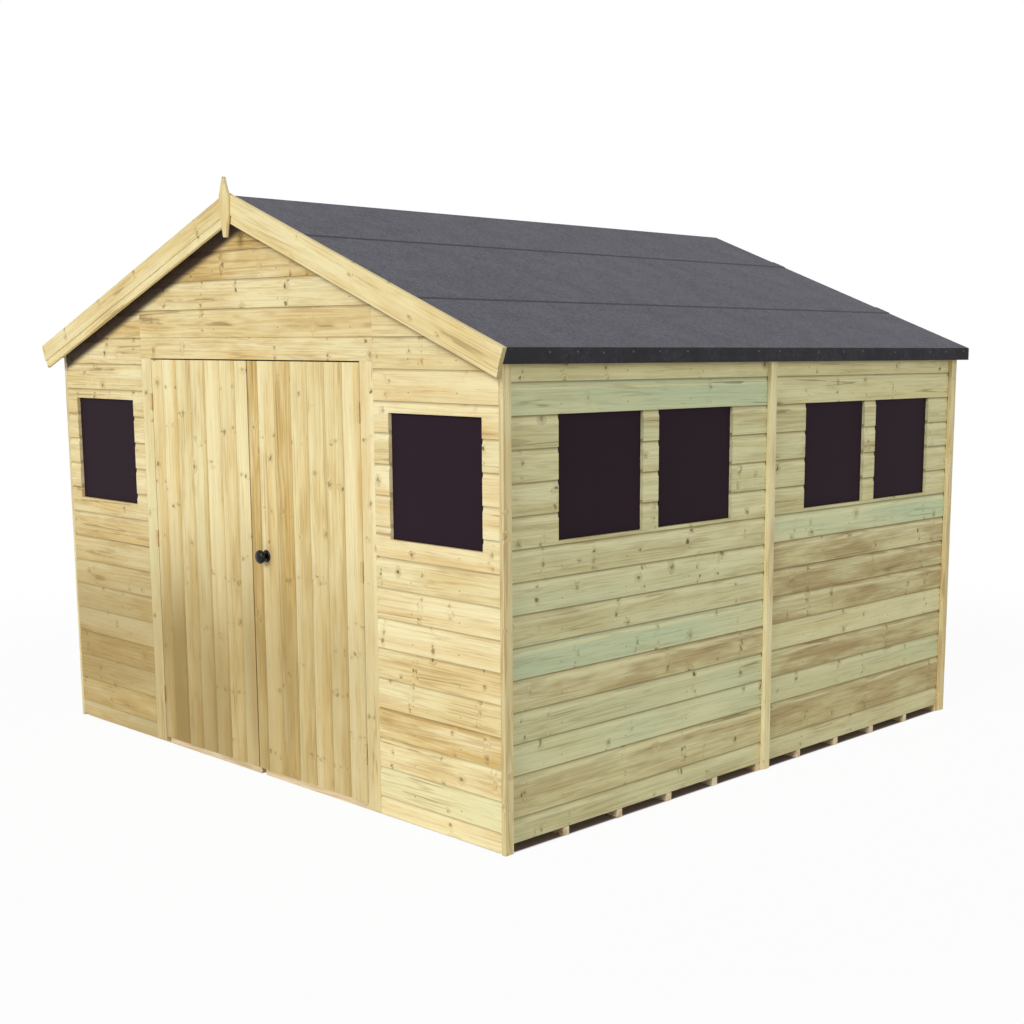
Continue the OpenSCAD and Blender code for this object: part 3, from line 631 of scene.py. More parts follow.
def felt(name, dark, pale, fold_dark):
    """Mineral felt: grains, scuffs and broad fading, and darker where it folds over the eaves."""
    nodes = new_finish(name)
    place = nodes.place()
    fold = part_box("felt_lower_right")[1].x
    turn = bpy.context.scene.shed_sizes.fold_turn
    grit = nodes.cells(place, 420, "Color").part("X")
    clumps = nodes.noise(place, scale=60, detail=3, roughness=0.7)
    scuffs = nodes.noise(place, scale=7, detail=4, roughness=0.62)
    fade = nodes.noise(place, scale=0.9, detail=3, roughness=0.5)
    coarse = clumps.between(0.25, 0.75) * 0.30 + scuffs.between(0.3, 0.7) * 0.10
    tone = grit * 0.45 + coarse + fade * 0.1 - 0.075
    worn = clumps.between(0.35, 0.65) * scuffs.between(0.35, 0.65)
    fold_tone = nodes.mix(worn * 0.9, fold_dark, dark)
    # Darker where the felt folds down over the eaves
    hanging = place.part("X").unsigned().between(fold - turn, fold - turn / 6)
    hue = nodes.mix(hanging * 0.94, nodes.mix(tone, dark, pale), fold_tone)
    nodes.surface(
        Base_Color=hue, Roughness=0.82 + 0.12 * clumps, Specular_IOR_Level=0.3,
        Normal=nodes.bump(grit * 0.6 + clumps * 0.6, distance=0.0011, strength=0.3))


def pane(name, dark, pale):
    """Dark glazing with faint smears."""
    nodes = new_finish(name)
    place = nodes.place()
    smears = nodes.noise(place, scale=2.4, detail=4, roughness=0.6, distortion=0.8)
    dust = nodes.noise(place, scale=60, detail=3, roughness=0.7)
    nodes.surface(
        Base_Color=nodes.mix(smears, dark, pale), Roughness=0.42 + 0.22 * smears + 0.08 * dust,
        Specular_IOR_Level=0.05)


def paint(name, shade):
    """Black paint on cast iron."""
    nodes = new_finish(name)
    place = nodes.place()
    peel = nodes.noise(place, scale=900, detail=2)
    wear = nodes.noise(place, scale=130, detail=4, roughness=0.6).between(0.55, 0.8)
    worn = tuple(min(1.0, level * 2.6 + 0.01) for level in shade)
    nodes.surface(
        Base_Color=nodes.mix(wear, shade, worn), Roughness=0.22 + 0.2 * wear, Specular_IOR_Level=0.25,
        Normal=nodes.bump(peel, distance=0.0003, strength=0.2))


def plated(name, shade):
    """Plated steel with a spangle and dull patches."""
    nodes = new_finish(name)
    place = nodes.place()
    spangle = nodes.cells(place, 260, "Color").part("X")
    dull = nodes.noise(place, scale=70, detail=3, roughness=0.6)
    darker = tuple(level * 0.55 for level in shade)
    nodes.surface(
        Base_Color=nodes.mix(0.3 * spangle + 0.5 * dull, shade, darker), Roughness=0.34 + 0.25 * dull,
        Metallic=0.35, Normal=nodes.bump(spangle, distance=0.0002, strength=0.15))


def pitch(name, shade):
    """Bitumen that was pressed out along a lap."""
    nodes = new_finish(name)
    place = nodes.place()
    lumps = nodes.noise(place, scale=140, detail=3, roughness=0.6)
    paler = tuple(level * 2.2 for level in shade)
    nodes.surface(
        Base_Color=nodes.mix(lumps * 0.6, shade, paler), Roughness=0.5 + 0.3 * lumps,
        Normal=nodes.bump(lumps, distance=0.0008, strength=0.4))


def make_finishes():
    """Makes every finish of the shed."""
    c = bpy.context.scene.shed_colours
    front = (c.front_pale, c.front_warm, c.front_green, c.front_olive)
    door = (c.door_pale, c.door_warm, c.front_green, c.front_olive)
    side = (c.side_pale, c.side_warm, c.side_green, c.side_brown)
    strip = (c.strip_pale, c.strip_warm, c.strip_warm, c.strip_warm)
    bearer = (c.bearer_pale, c.bearer_warm, c.bearer_warm, c.bearer_warm)
    # Painted marks on the boards: shade over each board's width and in the laps, a highlight on the coves,
    # and shadow behind the bargeboards and under the felt's fold
    pine("front_boards", *front, splash_and_shadow=0.9, across="Z", painted_board_shade=-0.25, lap=0.45, cove_highlight=0.15,
         painted_shadow=verge_painted_shadow)
    pine("side_boards", *side, splash_and_shadow=0.25, across="Z", painted_board_shade=-0.3, lap=0.68, cove_highlight=0.75,
         marks=(c.side_late, c.side_knot), painted_shadow=eaves_painted_shadow)
    pine("door_boards", *door, splash_and_shadow=0.9, knotty=0.8, across="X", painted_board_shade=0.75, lap=0.62)
    pine("strip_timber", *strip, knotty=0.3)
    pine("barge_timber", *door, knotty=0.7)
    pine("frame_timber", *strip)
    pine("floor_timber", *side)
    pine("bearer_timber", *bearer, splash_and_shadow=0.3)
    pine("roof_timber", *front)
    felt("roof_felt", c.felt_dark, c.felt_pale, c.bitumen)
    pane("dark_panes", c.pane_dark, c.pane_pale)
    paint("black_iron", c.iron)
    plated("zinc_hinges", c.zinc)
    pitch("felt_bead", c.bitumen)
    plated("nail_heads", c.nail_dark)
    plated("clout_heads", c.clout_grey)


def finish(slot):
    """The finish of a slot, made with the others when one is first asked for."""
    if not any(m.get("shed_finish") == slot for m in bpy.data.materials):
        make_finishes()
    return next(m for m in bpy.data.materials if m.get("shed_finish") == slot)


def node_copy(node):
    """A CAD node's mesh with its loose triangles merged and its flat faces joined."""
    bm = bmesh.new()
    bm.from_mesh(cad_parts[node].data)
    bmesh.ops.remove_doubles(bm, verts=bm.verts, dist=MERGE)
    bmesh.ops.dissolve_limit(bm, angle_limit=FLAT, verts=bm.verts, edges=bm.edges)
    return bm


def top_face(bm):
    """The face that covers most when looked at from above."""
    return max(bm.faces, key=lambda face: face.normal.z * face.calc_area())


def solids(bm):
    """The faces of each separate solid of a mesh, leftmost first."""
    waiting = dict.fromkeys(bm.faces)
    found = []
    while waiting:
        group = [waiting.popitem()[0]]
        for face in group:
            for edge in face.edges:
                fresh = [f for f in edge.link_faces if f in waiting]
                group.extend(fresh)
                for taken in fresh:
                    del waiting[taken]
        found.append(group)
    return sorted(found, key=lambda faces: tuple(round(v, 3) for v in middle(faces)))


def corners(faces):
    """Every corner of some faces, as rows of numbers."""
    return np.array([v.co[:] for v in dict.fromkeys(v for face in faces for v in face.verts)])


def middle(faces):
    """The middle of the box round some faces."""
    points = corners(faces)
    return (points.min(axis=0) + points.max(axis=0)) / 2


def longest_way(points):
    """The way along which some points reach farthest, which points right, back or up."""
    way = np.linalg.svd(points - points.mean(axis=0))[2][0]
    return way * np.sign(way[np.abs(way).argmax()])


def damp_and_shadow_at(place, levels):
    """How dark with dampness and painted shadow the foot of a timber is whose middle lies at a place."""
    level = levels["middle"] + levels["slope"] * place[levels["axis"]]
    return min(levels["most"], max(levels["least"], level))


def timber_tints(letter, levels):
    """Tints of single timbers of one kind, more or less brown by chance, and the dampness and painted shadow
    at each.
    """
    green, brown = TINTS[letter]
    return lambda number, place, draw: (green, brown * 2 * draw[2], damp_and_shadow_at(place, levels))


def board_tints(node, levels):
    """Tints of a panel's boards, its own or drawn ones, and the dampness and painted shadow at each board.
    """
    letters = BOARD_TINTS.get(node)

    def tints(number, place, draw):
        if letters:
            letter = letters[min(number, len(letters) - 1)]
        else:
            letter = DRAWN_TINTS[int(draw[0] * len(DRAWN_TINTS))]
        return *TINTS[letter], damp_and_shadow_at(place, levels)

    return tints


def mark_timber(bm, seed, tints, grain=None, shade=None, rows=None, ends=0.0):
    """Gives each solid its own stretch of timber, grain, row and tint, and the lower edges or the sawn ends
    their painted shade.
    """
    layers = bm.faces.layers
    board = layers.float_vector.new("board")
    way = layers.float_vector.new("grain")
    tint = layers.float_vector.new("tint")
    lap = layers.float.new("lap")
    row = layers.float_vector.new("row")
    rng = np.random.default_rng(seed)
    for faces in solids(bm):
        draw = rng.random(3)
        run = grain or longest_way(corners(faces))
        centre = middle(faces)
        number, foot, cover = rows(centre) if rows else NO_ROWS
        hues = tints(number, centre, draw)
        for face in faces:
            face[board] = draw
            face[way] = run
            face[row] = (foot, cover, 0)
            face[tint] = hues
            # Painted shade: on the boards' lower edges where a shade function is given, otherwise on the
            # sawn ends
            sawn = abs(face.normal.dot(Vector(run))) > END_GRAIN
            face[lap] = shade(face) if shade else ends * sawn


def lap_shade(across):
    """A function that gives the painted shade on a face: some on the lower edges of the boards."""
    across = Vector(across)
    painted_shade = bpy.context.scene.shed_grain.lower_edge_shade
    return lambda face: painted_shade * (face.normal.dot(across) < -LOWER_EDGE)


def make_piece(name, bm, slot, body, replaced=()):
    """Turns a mesh into a piece that rides on a body in place of CAD nodes."""
    mesh = bpy.data.meshes.new(name)
    bm.to_mesh(mesh)
    bm.free()
    mesh.materials.clear()
    mesh.materials.append(finish(slot))
    piece = bpy.data.objects.new(name, mesh)
    bpy.context.scene.collection.objects.link(piece)
    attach(piece, body)
    if replaced:
        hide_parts(*replaced)


def dress_node(node, slot):
    """Gives a CAD node its finish."""
    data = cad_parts[node].data
    data.materials.clear()
    data.materials.append(finish(slot))


def new_tree(name, inputs):
    """A Geometry Nodes tree with a geometry in and out, its nodes, and its inputs by their names."""
    tree = bpy.data.node_groups.new(name, "GeometryNodeTree")
    tree.interface.new_socket("Geometry", in_out="INPUT", socket_type="NodeSocketGeometry")
    for label, kind in inputs.items():
        tree.interface.new_socket(label, in_out="INPUT", socket_type=f"NodeSocket{kind}")
    tree.interface.new_socket("Geometry", in_out="OUTPUT", socket_type="NodeSocketGeometry")
    nodes = Nodes(tree)
    outputs = nodes.add("NodeGroupInput").socket.node.outputs
    given = {label: Value(nodes, nodes.find(outputs, label)) for label in ("Geometry", *inputs)}
    return tree, nodes, given


def end_tree(nodes, geometry, material):
    """Ends a tree with its instances made real and given their finish."""
    real = nodes.add("GeometryNodeRealizeInstances", {}, {0: geometry})
    dressed = nodes.add("GeometryNodeSetMaterial", {}, {"Geometry": real, "Material": material})
    nodes.add("NodeGroupOutput", {}, {"Geometry": dressed})


def board_row_tree():
    """Repeats a board up a wall and trims the rows to the wall's panel."""
    name = "Board rows"
    if name in bpy.data.node_groups:
        return bpy.data.node_groups[name]
    tree, nodes, given = new_tree(
        name, {"Panel": "Object", "First": "Vector", "Step": "Vector", "Rows": "Int", "Finish": "Material"})
    line = nodes.add(
        "GeometryNodeMeshLine", {"mode": "OFFSET"},
        {"Count": given["Rows"], "Start Location": given["First"], "Offset": given["Step"]})
    boards = nodes.add("GeometryNodeInstanceOnPoints", {}, {"Points": line, "Instance": given["Geometry"]})
    loose = nodes.add("GeometryNodeRealizeInstances", {}, {0: boards})
    panel = nodes.add("GeometryNodeObjectInfo", {}, {"Object": given["Panel"]}, "Geometry")
    whole = nodes.add("GeometryNodeMergeByDistance", {}, {"Geometry": panel, "Distance": MERGE})
    trimmed = nodes.add(
        "GeometryNodeMeshBoolean", {"operation": "INTERSECT", "solver": "MANIFOLD"}, {"Mesh 2": loose})
    tree.links.new(whole.socket, trimmed.socket.node.inputs["Mesh 2"])
    end_tree(nodes, trimmed, given["Finish"])
    return tree


def nail_tree():
    """Sets a round head on every point, square to the way it faces."""
    name = "Nail heads"
    if name in bpy.data.node_groups:
        return bpy.data.node_groups[name]
    tree, nodes, given = new_tree(name, {"Radius": "Float", "Rise": "Float", "Finish": "Material"})
    facing = nodes.add(
        "GeometryNodeInputNamedAttribute", {"data_type": "FLOAT_VECTOR"}, {"Name": "facing"}, "Attribute")
    turned = nodes.add("FunctionNodeAlignRotationToVector", {"axis": "Z"}, {"Vector": facing})
    head = nodes.add(
        "GeometryNodeMeshCone", {"fill_type": "NGON"},
        {"Vertices": NAIL_SIDES, "Radius Top": given["Radius"] * 0.72, "Radius Bottom": given["Radius"],
         "Depth": given["Rise"] * 2}, "Mesh")
    sizes = nodes.add(
        "FunctionNodeRandomValue", {"data_type": "FLOAT"},
        {"Min": 0.85, "Max": 1.12, "Seed": SEEDS["heads"]})
    heads = nodes.add(
        "GeometryNodeInstanceOnPoints", {},
        {"Points": given["Geometry"], "Instance": head, "Rotation": turned, "Scale": sizes})
    end_tree(nodes, heads, given["Finish"])
    return tree


def grow(bm, mesh, tree, inputs):
    """Adds to bm what a Geometry Nodes tree grows from a mesh."""
    seed = bpy.data.objects.new("seed", mesh)
    bpy.context.scene.collection.objects.link(seed)
    modifier = seed.modifiers.new(tree.name, "NODES")
    modifier.node_group = tree
    for item in tree.interface.items_tree:
        if item.in_out == "INPUT" and item.name in inputs:
            modifier[item.identifier] = inputs[item.name]
    depsgraph = bpy.context.evaluated_depsgraph_get()
    result = bpy.data.meshes.new_from_object(seed.evaluated_get(depsgraph))
    seed.modifiers.clear()
    bpy.data.objects.remove(seed)
    bpy.data.meshes.remove(mesh)
    if not result.polygons:
        raise RuntimeError(f"{tree.name} made nothing")
    bm.from_mesh(result)
    bpy.data.meshes.remove(result)


def shiplap_outline(cover, cove_height, thickness):
    """Outline of a shiplap board: height above its lower edge, and depth behind the wall's face."""
    s = bpy.context.scene.shed_sizes
    face = s.skin
    back = thickness - s.skin
    ground = cover - s.lap_shadow
    turns = [math.radians(90 * step / COVE_STEPS) for step in range(COVE_STEPS + 1)]
    cove = [
        (ground - cove_height * math.cos(turn), face + (s.cove_depth - face) * math.sin(turn))
        for turn in turns]
    lip = s.cove_depth - s.lap_room
    root = s.tongue + s.lap_room
    tip = cover + s.tongue
    return [(0, face), *cove, (tip, s.cove_depth), (tip, back), (root, back), (root, lip), (0, lip)]


def deck_outline(cover, thickness):
    """Outline of a floor or roof board with a groove along both faces."""
    s = bpy.context.scene.shed_sizes
    face = s.skin
    back = thickness - s.skin
    side = cover - s.lap_room
    half = s.groove / 2
    return [
        (half, face), (side - half, face), (side, face + s.groove), (side, back - s.groove),
        (side - half, back), (half, back), (0, back - s.groove), (0, face + s.groove)]


def blank_board(outline, length, axes):
    """A board of that outline. Its axes point along it, across it and out of its face."""
    run, across, outward = (Vector(axis) for axis in axes)
    bm = bmesh.new()
    ends = []
    for end in (-length / 2, length / 2):
        ends.append([bm.verts.new(run * end + across * h - outward * d) for h, d in outline])
    for i in range(len(outline)):
        j = (i + 1) % len(outline)
        bm.faces.new((ends[0][i], ends[0][j], ends[1][j], ends[1][i]))
    bm.faces.new(ends[0])
    bm.faces.new(ends[1])
    bmesh.ops.recalc_face_normals(bm, faces=bm.faces)
    mesh = bpy.data.meshes.new("board")
    bm.to_mesh(mesh)
    bm.free()
    return mesh


def lay_boards(bm, node, slot, outline, cover, first, rows, axes):
    """Adds rows of boards to bm, trimmed to a CAD panel."""
    low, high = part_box(node)
    length = 2 * (high - low).length
    step = Vector(axes[1]) * cover
    grow(
        bm, blank_board(outline, length, axes), board_row_tree(),
        {"Panel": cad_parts[node], "First": Vector(first), "Step": step, "Rows": rows,
         "Finish": finish(slot)})


def row_at(runs, place):
    """Number, foot and cover of the row of boards at a place along the rows."""
    number = 0
    for first, rows, cover in runs:
        step = min(rows - 1, max(0, int((place - first) / cover)))
        if place < first + rows * cover:
            break
        number += rows
    return number + step, first + step * cover, cover


def clad_wall(node, slot, runs, seed, levels):
    """Clads one wall panel with rows of shiplap. Runs are (height of the first lap, rows, cover)."""
    s = bpy.context.scene.shed_sizes
    side = node.split("_")[0]
    outward = Vector(OUTWARD[side])
    run = Vector(UP).cross(outward)
    low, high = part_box(node)
    half = abs((high - low).dot(outward)) / 2
    start = (low + high) / 2 + outward * half
    bm = bmesh.new()
    for first, rows, cover in runs:
        start.z = first
        outline = shiplap_outline(cover, s.cove_height, 2 * half)
        lay_boards(bm, node, slot, outline, cover, start, rows, (run, UP, outward))
    mark_timber(
        bm, seed, board_tints(node, levels), run, lap_shade(UP), lambda centre: row_at(runs, centre[2]))
    make_piece(node.replace("panel", "boards"), bm, slot, "shed", (node,))


def rows_from(first, cover, low, high):
    """The first lap at or below low, and how many rows reach high from there."""
    below = math.ceil((first - low) / cover)
    start = first - below * cover
    return start, math.ceil((high - start) / cover)


class SHED_OT_wall_boards(bpy.types.Operator):
    """Clads the walls and the gable with shiplap boards"""

    bl_idname = "shed.wall_boards"
    bl_label = "Wall boards"

    def execute(self, context):
        s = context.scene.shed_sizes
        for order, node in enumerate(FRONT_PANELS):
            low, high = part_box(node)
            start, rows = rows_from(s.front_lap, s.cover, low.z, high.z)
            runs = [(start, rows, s.cover)]
            clad_wall(node, "front_boards", runs, SEEDS["front"] + order, DAMP_AND_SHADOW["front"])
        for order, node in enumerate(SIDE_PANELS):
            low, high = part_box(node)
            rows = math.ceil((high.z - s.side_lap) / s.cover)
            runs = [
                (s.plinth_lap - s.cover, 1, s.cover), (s.plinth_lap, 1, s.side_lap - s.plinth_lap),
                (s.side_lap, rows, s.cover)]
            clad_wall(node, "side_boards", runs, SEEDS["sides"] + order, DAMP_AND_SHADOW["sides"])
        return {"FINISHED"}


class SHED_OT_door_boards(bpy.types.Operator):
    """Makes both doors of upright shiplap boards"""

    bl_idname = "shed.door_boards"
    bl_label = "Door boards"

    def execute(self, context):
        s = context.scene.shed_sizes
        laps = {"left": -s.left_door_lap, "right": s.right_door_lap}
        axes = (UP, RIGHT, OUTWARD["front"])
        for order, (hand, lap) in enumerate(laps.items()):
            node = f"{hand}_door"
            low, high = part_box(node)
            first = lap - BOARDS_BEFORE[hand] * s.door_cover
            start = Vector((first, low.y, (low.z + high.z) / 2))
            runs = [(first, DOOR_BOARDS, s.door_cover)]
            outline = shiplap_outline(s.door_cover, s.door_cove, high.y - low.y)
            bm = bmesh.new()
            lay_boards(bm, node, "door_boards", outline, s.door_cover, start, DOOR_BOARDS, axes)
            mark_timber(
                bm, SEEDS["doors"] + order, board_tints(node, DAMP_AND_SHADOW["doors"]), UP, lap_shade(RIGHT),
                lambda centre: row_at(runs, centre[0]))
            make_piece(f"{hand}_door_boards", bm, "door_boards", f"{hand}_leaf", (node,))
        return {"FINISHED"}


class SHED_OT_decks(bpy.types.Operator):
    """Lays the floor boards and the roof boards"""

    bl_idname = "shed.decks"
    bl_label = "Floor and roof boards"

    def execute(self, context):
        cover = context.scene.shed_sizes.deck_cover
        low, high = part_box("floor_boards")
        start = Vector(((low.x + high.x) / 2, low.y, high.z))
        rows = math.ceil((high.y - low.y) / cover)
        axes = (RIGHT, BACK, UP)
        self.lay("floor_boards", "floor_timber", start, rows, axes, high.z - low.z, SEEDS["floor"])
        for order, (hand, sign) in enumerate(HANDS.items()):
            node = f"roof_boards_{hand}"
            bm = node_copy(node)
            top = top_face(bm)
            outward = top.normal.copy()
            across = Vector(BACK).cross(outward) * sign
            ridge = min((v.co for v in top.verts), key=lambda co: abs(co.x)).copy()
            reach = max((v.co - ridge).dot(across) for v in bm.verts)
            deep = max((ridge - v.co).dot(outward) for v in bm.verts)
            bm.free()
            low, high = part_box(node)
            ridge.y = (low.y + high.y) / 2
            start = ridge - across * cover / 2
            rows = math.ceil(reach / cover) + 1
            axes = (BACK, across, outward)
            self.lay(node, "roof_timber", start, rows, axes, deep, SEEDS["roof"] + order)
        return {"FINISHED"}

    @staticmethod
    def lay(node, slot, start, rows, axes, thickness, seed):
        """Lays one deck of grooved boards."""
        cover = bpy.context.scene.shed_sizes.deck_cover
        bm = bmesh.new()
        lay_boards(bm, node, slot, deck_outline(cover, thickness), cover, start, rows, axes)
        mark_timber(bm, seed, timber_tints("o", DAMP_AND_SHADOW["front"]), axes[0])
        make_piece(f"{node}_laid", bm, slot, "shed", (node,))


class SHED_OT_timbers(bpy.types.Operator):
    """Planes the strips, trims, frames, bearers, ledges, bargeboards and roof timbers"""

    bl_idname = "shed.timbers"
    bl_label = "Planed timbers"

    def execute(self, context):
        edge = context.scene.shed_sizes.edge
        barge_end_shade = context.scene.shed_grain.barge_end_shade
        for order, (node, (slot, letter)) in enumerate(TIMBERS.items()):
            bm = node_copy(node)
            sharp = [e for e in bm.edges if e.calc_face_angle(0) > SHARP]
            bmesh.ops.bevel(
                bm, geom=sharp, offset=edge, offset_type="OFFSET", segments=EDGE_STEPS, profile=0.5,
                affect="EDGES", clamp_overlap=True)
            # Painted shade on the sawn ends of the bargeboards
            ends = barge_end_shade if slot == "barge_timber" else 0.0
            tints = timber_tints(letter, DAMP_AND_SHADOW.get(node, DAMP_AND_SHADOW["front"]))
            mark_timber(bm, SEEDS["timbers"] + order, tints, ends=ends)
            make_piece(f"{node}_planed", bm, slot, LEDGE_BODIES.get(node, "shed"), (node,))
        return {"FINISHED"}


class SHED_OT_felt(bpy.types.Operator):
    """Finishes the felt and the adhesive that shows along its laps"""

    bl_idname = "shed.felt"
    bl_label = "Felt"

    def execute(self, context):
        for node in (*LOWER_FELT, *UPPER_FELT):
            dress_node(node, "roof_felt")
        bm = bmesh.new()
        for node in UPPER_FELT:
            sheet = node_copy(node)
            for sign in HANDS.values():
                self.bead(bm, node, sheet, sign)
            sheet.free()
        make_piece("felt_lap_beads", bm, "felt_bead", "shed")
        return {"FINISHED"}

    @staticmethod
    def bead(bm, node, sheet, sign):
        """Adds a flat bead along a sheet's lower edge on one slope, if it covers that slope."""
        s = bpy.context.scene.shed_sizes
        tops = [f for f in sheet.faces if f.normal.z > 0.5 and f.normal.x * sign > 0.1]
        if not tops:
            return
        outward = max(tops, key=lambda f: f.calc_area()).normal.copy()
        down = outward.cross(Vector(BACK))
        if down.z > 0:
            down = -down
        points = [v.co for v in sheet.verts if v.co.x * sign > 0]
        foot = max(points, key=lambda co: co.dot(down))
        under = min(co.dot(outward) for co in points if (foot - co).dot(down) < s.bead_seat)
        base = foot + outward * (under - foot.dot(outward))
        profile = [(0, 0), (s.bead_width, 0), (s.bead_width * 0.6, s.bead_rise), (0, s.bead_rise * 2)]
        low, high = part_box(node)
        rings = []
        for y in (low.y + s.bead_rise, high.y - s.bead_rise):
            at = Vector((base.x, y, base.z))
            rings.append([bm.verts.new(at + down * d + outward * h) for d, h in profile])
        near, far = rings
        made = [bm.faces.new((near[i], near[i - 1], far[i - 1], far[i])) for i in range(len(profile))]
        made += [bm.faces.new(near), bm.faces.new(far)]
        bmesh.ops.recalc_face_normals(bm, faces=made)


class SHED_OT_panes(bpy.types.Operator):
    """Finishes the window panes"""

    bl_idname = "shed.panes"
    bl_label = "Panes"

    def execute(self, context):
        for node in PANES:
            dress_node(node, "dark_panes")
        return {"FINISHED"}


class SHED_OT_ironwork(bpy.types.Operator):
    """Finishes the knob, the latch and the hinges"""

    bl_idname = "shed.ironwork"
    bl_label = "Ironwork"

    def execute(self, context):
        for node in BLACK_IRONWORK:
            dress_node(node, "black_iron")
        for node in HINGES:
            dress_node(node, "zinc_hinges")
        return {"FINISHED"}


def drive_nails(name, points, radius, slot, body):
    """Sets nail heads on points, given as (place, way it faces)."""
    s = bpy.context.scene.shed_sizes
    mesh = bpy.data.meshes.new("nail points")
    mesh.from_pydata([place for place, _ in points], [], [])
    facing = mesh.attributes.new("facing", "FLOAT_VECTOR", "POINT")
    facing.data.foreach_set("vector", [float(v) for _, way in points for v in way])
    bm = bmesh.new()
    grow(bm, mesh, nail_tree(), {"Radius": radius, "Rise": s.head_rise, "Finish": finish(slot)})
    make_piece(name, bm, slot, body)


def wall_nails(node, columns, first, second):
    """Nails of one wall panel, one to a board in each column, wherever the panel has timber.

    First and second are the heights of the two lowest laps.
    """
    s = bpy.context.scene.shed_sizes
    outward = Vector(OUTWARD[node.split("_")[0]])
    run = 0 if outward.y else 1
    low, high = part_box(node)
    face = high if outward.x + outward.y > 0 else low
    bm = node_copy(node)
    panel = BVHTree.FromBMesh(bm)
    bm.free()
    sideways = Vector(UP).cross(outward) * s.nail_margin
    upward = Vector(UP) * s.nail_margin
    rng = np.random.default_rng(len(node) * SEEDS["nails"] + run)
    points = []
    heights = [first] + [second + k * s.cover for k in range(int((high.z - second) / s.cover) + 1)]
    for column in columns:
        for lap in heights:
            place = Vector((face.x, face.y, lap + s.nail_rise + s.nail_lift * rng.random()))
            place[run] = low[run] + column * (high[run] - low[run]) + s.nail_stray * (rng.random() - 0.5)
            beside = [place + way for way in (sideways, -sideways, upward, -upward)]
            if all(panel.ray_cast(at + outward, -outward)[0] for at in beside):
                points.append((place - outward * s.skin, outward))
    return points


class SHED_OT_nails(bpy.types.Operator):
    """Drives the nails of the wall boards and the felt"""

    bl_idname = "shed.nails"
    bl_label = "Nails"

    def execute(self, context):
        s = context.scene.shed_sizes
        points = []
        for node in FRONT_PANELS:
            points += wall_nails(node, NAIL_COLUMNS[node], s.front_lap - s.cover, s.front_lap)
        for node in SIDE_PANELS:
            columns = NAIL_COLUMNS["back" if node.startswith("back") else "side"]
            points += wall_nails(node, columns, s.plinth_lap, s.side_lap)
        drive_nails("wall_nails", points, s.nail, "nail_heads", "shed")
        drive_nails("felt_nails", self.felt_points(s), s.clout, "clout_heads", "shed")
        return {"FINISHED"}

    @staticmethod
    def felt_points(s):
        """Clouts along the folds at the eaves."""
        points = []
        rng = np.random.default_rng(SEEDS["clouts"])
        for hand, sign in HANDS.items():
            low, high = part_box(f"felt_lower_{hand}")
            x = high.x if sign > 0 else low.x
            for y in np.arange(low.y + s.clout_start, high.y - s.clout_end, s.clout_gap):
                z = low.z + s.clout_height + s.clout_lift * rng.random()
                if rng.random() < s.clouts_seen:
                    place = Vector((x, y + s.clout_stray * rng.random(), z))
                    points.append((place, Vector((sign, 0, 0))))
        return points


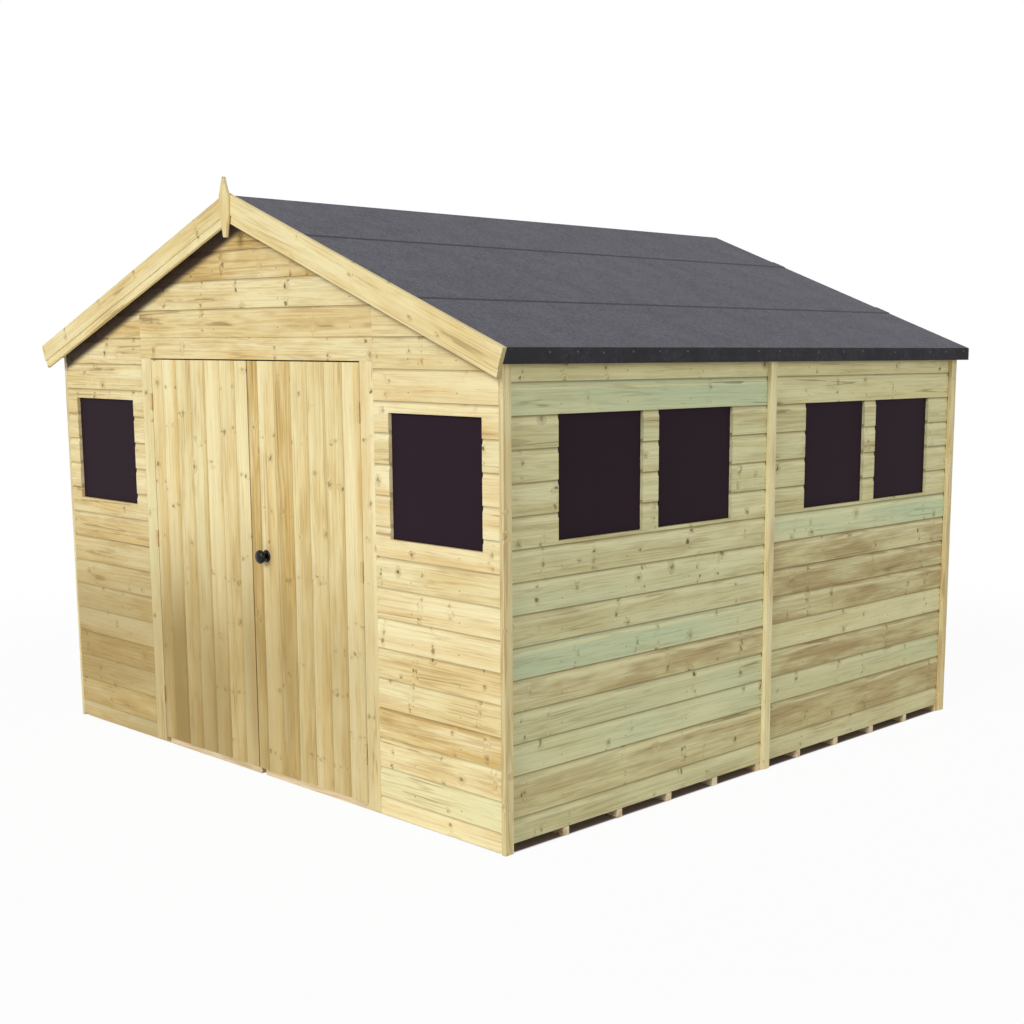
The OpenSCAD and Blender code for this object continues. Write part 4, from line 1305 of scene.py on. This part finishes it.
class SHED_OT_stage(bpy.types.Operator):
    """Sets up the floor, the background, the lamps and the camera"""

    bl_idname = "shed.stage"
    bl_label = "Stage"

    def execute(self, context):
        scene = context.scene
        stage = scene.shed_stage
        scene.view_settings.view_transform = "Standard"
        self.world(scene, stage)
        self.floor(scene, stage)
        self.lamp(scene, "key", stage.key, stage.key_from, stage.lamp_spread)
        self.lamp(scene, "fill", stage.fill, stage.fill_from, stage.lamp_spread)
        self.camera(scene, stage)
        return {"FINISHED"}

    @staticmethod
    def seen(nodes):
        """1 where the background is looked at, straight or in a reflection."""
        path = nodes.add("ShaderNodeLightPath", {}, {}, "Is Camera Ray")
        return path.most(path.beside("Is Glossy Ray")).most(path.beside("Is Transmission Ray"))

    def world(self, scene, stage):
        """White where it is seen, and a plain even light elsewhere."""
        world = bpy.data.worlds.new("Studio")
        world.use_nodes = True
        nodes = Nodes(world.node_tree)
        seen = self.seen(nodes)
        level = seen + (1 - seen) * stage.sky
        light = nodes.add("ShaderNodeBackground", {}, {"Color": (1, 1, 1), "Strength": level})
        nodes.add("ShaderNodeOutputWorld", {}, {"Surface": light})
        scene.world = world

    def floor(self, scene, stage):
        """A pale floor that keeps the shed's shadow, with painted shade on the floor under the shed."""
        nodes = new_finish("studio_floor")
        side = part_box("right_front_panel")[1].x
        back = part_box("back_right_panel")[1].y
        front = -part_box("front_right_panel")[0].y - stage.front_gap
        place = nodes.place()
        aside = place.part("X").unsigned().between(side - stage.under_inset, side + stage.under_reach)
        before = (0 - place.part("Y")).between(front - stage.front_fade, front)
        behind = place.part("Y").between(back - stage.under_inset, back + stage.under_reach)
        outside = aside.most(before).most(behind)
        far = nodes.vector("LENGTH", place, output="Value").between(stage.white_from, stage.white_to)
        white_level = stage.floor_white + (1 - stage.floor_white) * far
        seen = self.seen(nodes) * outside * white_level
        # Painted shade: a darker floor under the shed
        ground = nodes.mix(outside, stage.under, (stage.floor_grey,) * 3)
        matt = nodes.add(
            "ShaderNodeBsdfPrincipled", {},
            {"Base Color": ground, "Roughness": 1.0, "Specular IOR Level": 0.0})
        white = nodes.add("ShaderNodeEmission", {}, {"Color": (1, 1, 1), "Strength": 1.0})
        both = nodes.add("ShaderNodeMixShader", {}, {0: seen, 1: matt, 2: white})
        nodes.add("ShaderNodeOutputMaterial", {}, {"Surface": both})
        half = stage.floor_half
        corner_points = [(-half, -half, 0), (half, -half, 0), (half, half, 0), (-half, half, 0)]
        mesh = bpy.data.meshes.new("studio_floor")
        mesh.from_pydata(corner_points, [], [(0, 1, 2, 3)])
        mesh.materials.append(finish("studio_floor"))
        floor = bpy.data.objects.new("studio_floor", mesh)
        scene.collection.objects.link(floor)

    @staticmethod
    def lamp(scene, name, strength, source, spread):
        """A broad lamp far off."""
        light = bpy.data.lights.new(name, "SUN")
        light.energy = strength
        light.angle = spread
        lamp = bpy.data.objects.new(name, light)
        lamp.rotation_euler = Vector(source).to_track_quat("Z", "Y").to_euler()
        scene.collection.objects.link(lamp)

    @staticmethod
    def camera(scene, stage):
        """The camera at the photograph's view."""
        data = bpy.data.cameras.new("view")
        data.sensor_width = SENSOR
        data.lens = stage.lens
        data.shift_x, data.shift_y = stage.shift
        camera = bpy.data.objects.new("view", data)
        place = Vector(stage.place)
        level = (Vector(stage.aim) - place).to_track_quat("-Z", "Y")
        camera.location = place
        camera.rotation_euler = (level @ Quaternion(UP, stage.roll)).to_euler()
        scene.collection.objects.link(camera)
        scene.camera = camera


OPERATORS = (
    SHED_OT_stage, SHED_OT_wall_boards, SHED_OT_door_boards, SHED_OT_decks, SHED_OT_timbers, SHED_OT_felt,
    SHED_OT_panes, SHED_OT_ironwork, SHED_OT_nails)
GROUPS = {
    "shed_sizes": ShedSizes, "shed_colours": ShedColours, "shed_grain": ShedGrain, "shed_stage": ShedStage}


class SHED_PT_dresser(bpy.types.Panel):
    """Lists the steps of dressing the shed"""

    bl_idname = "SHED_PT_dresser"
    bl_label = "Shed"
    bl_space_type = "VIEW_3D"
    bl_region_type = "UI"
    bl_category = "Shed"

    def draw(self, context):
        for operator in OPERATORS:
            self.layout.operator(operator.bl_idname)
        for name, group in GROUPS.items():
            box = self.layout.box()
            for prop in group.__annotations__:
                box.prop(getattr(context.scene, name), prop)


def register():
    for group in GROUPS.values():
        bpy.utils.register_class(group)
    for name, group in GROUPS.items():
        setattr(bpy.types.Scene, name, bpy.props.PointerProperty(type=group))
    for item in (*OPERATORS, SHED_PT_dresser):
        bpy.utils.register_class(item)


def unregister():
    for item in (SHED_PT_dresser, *reversed(OPERATORS)):
        bpy.utils.unregister_class(item)
    for name in GROUPS:
        delattr(bpy.types.Scene, name)
    for group in reversed(GROUPS.values()):
        bpy.utils.unregister_class(group)


def main():
    """Registers the add-on and dresses the shed."""
    register()
    for operator in OPERATORS:
        area, step = operator.bl_idname.split(".")
        getattr(getattr(bpy.ops, area), step)()


if __name__ == "__main__":
    main()
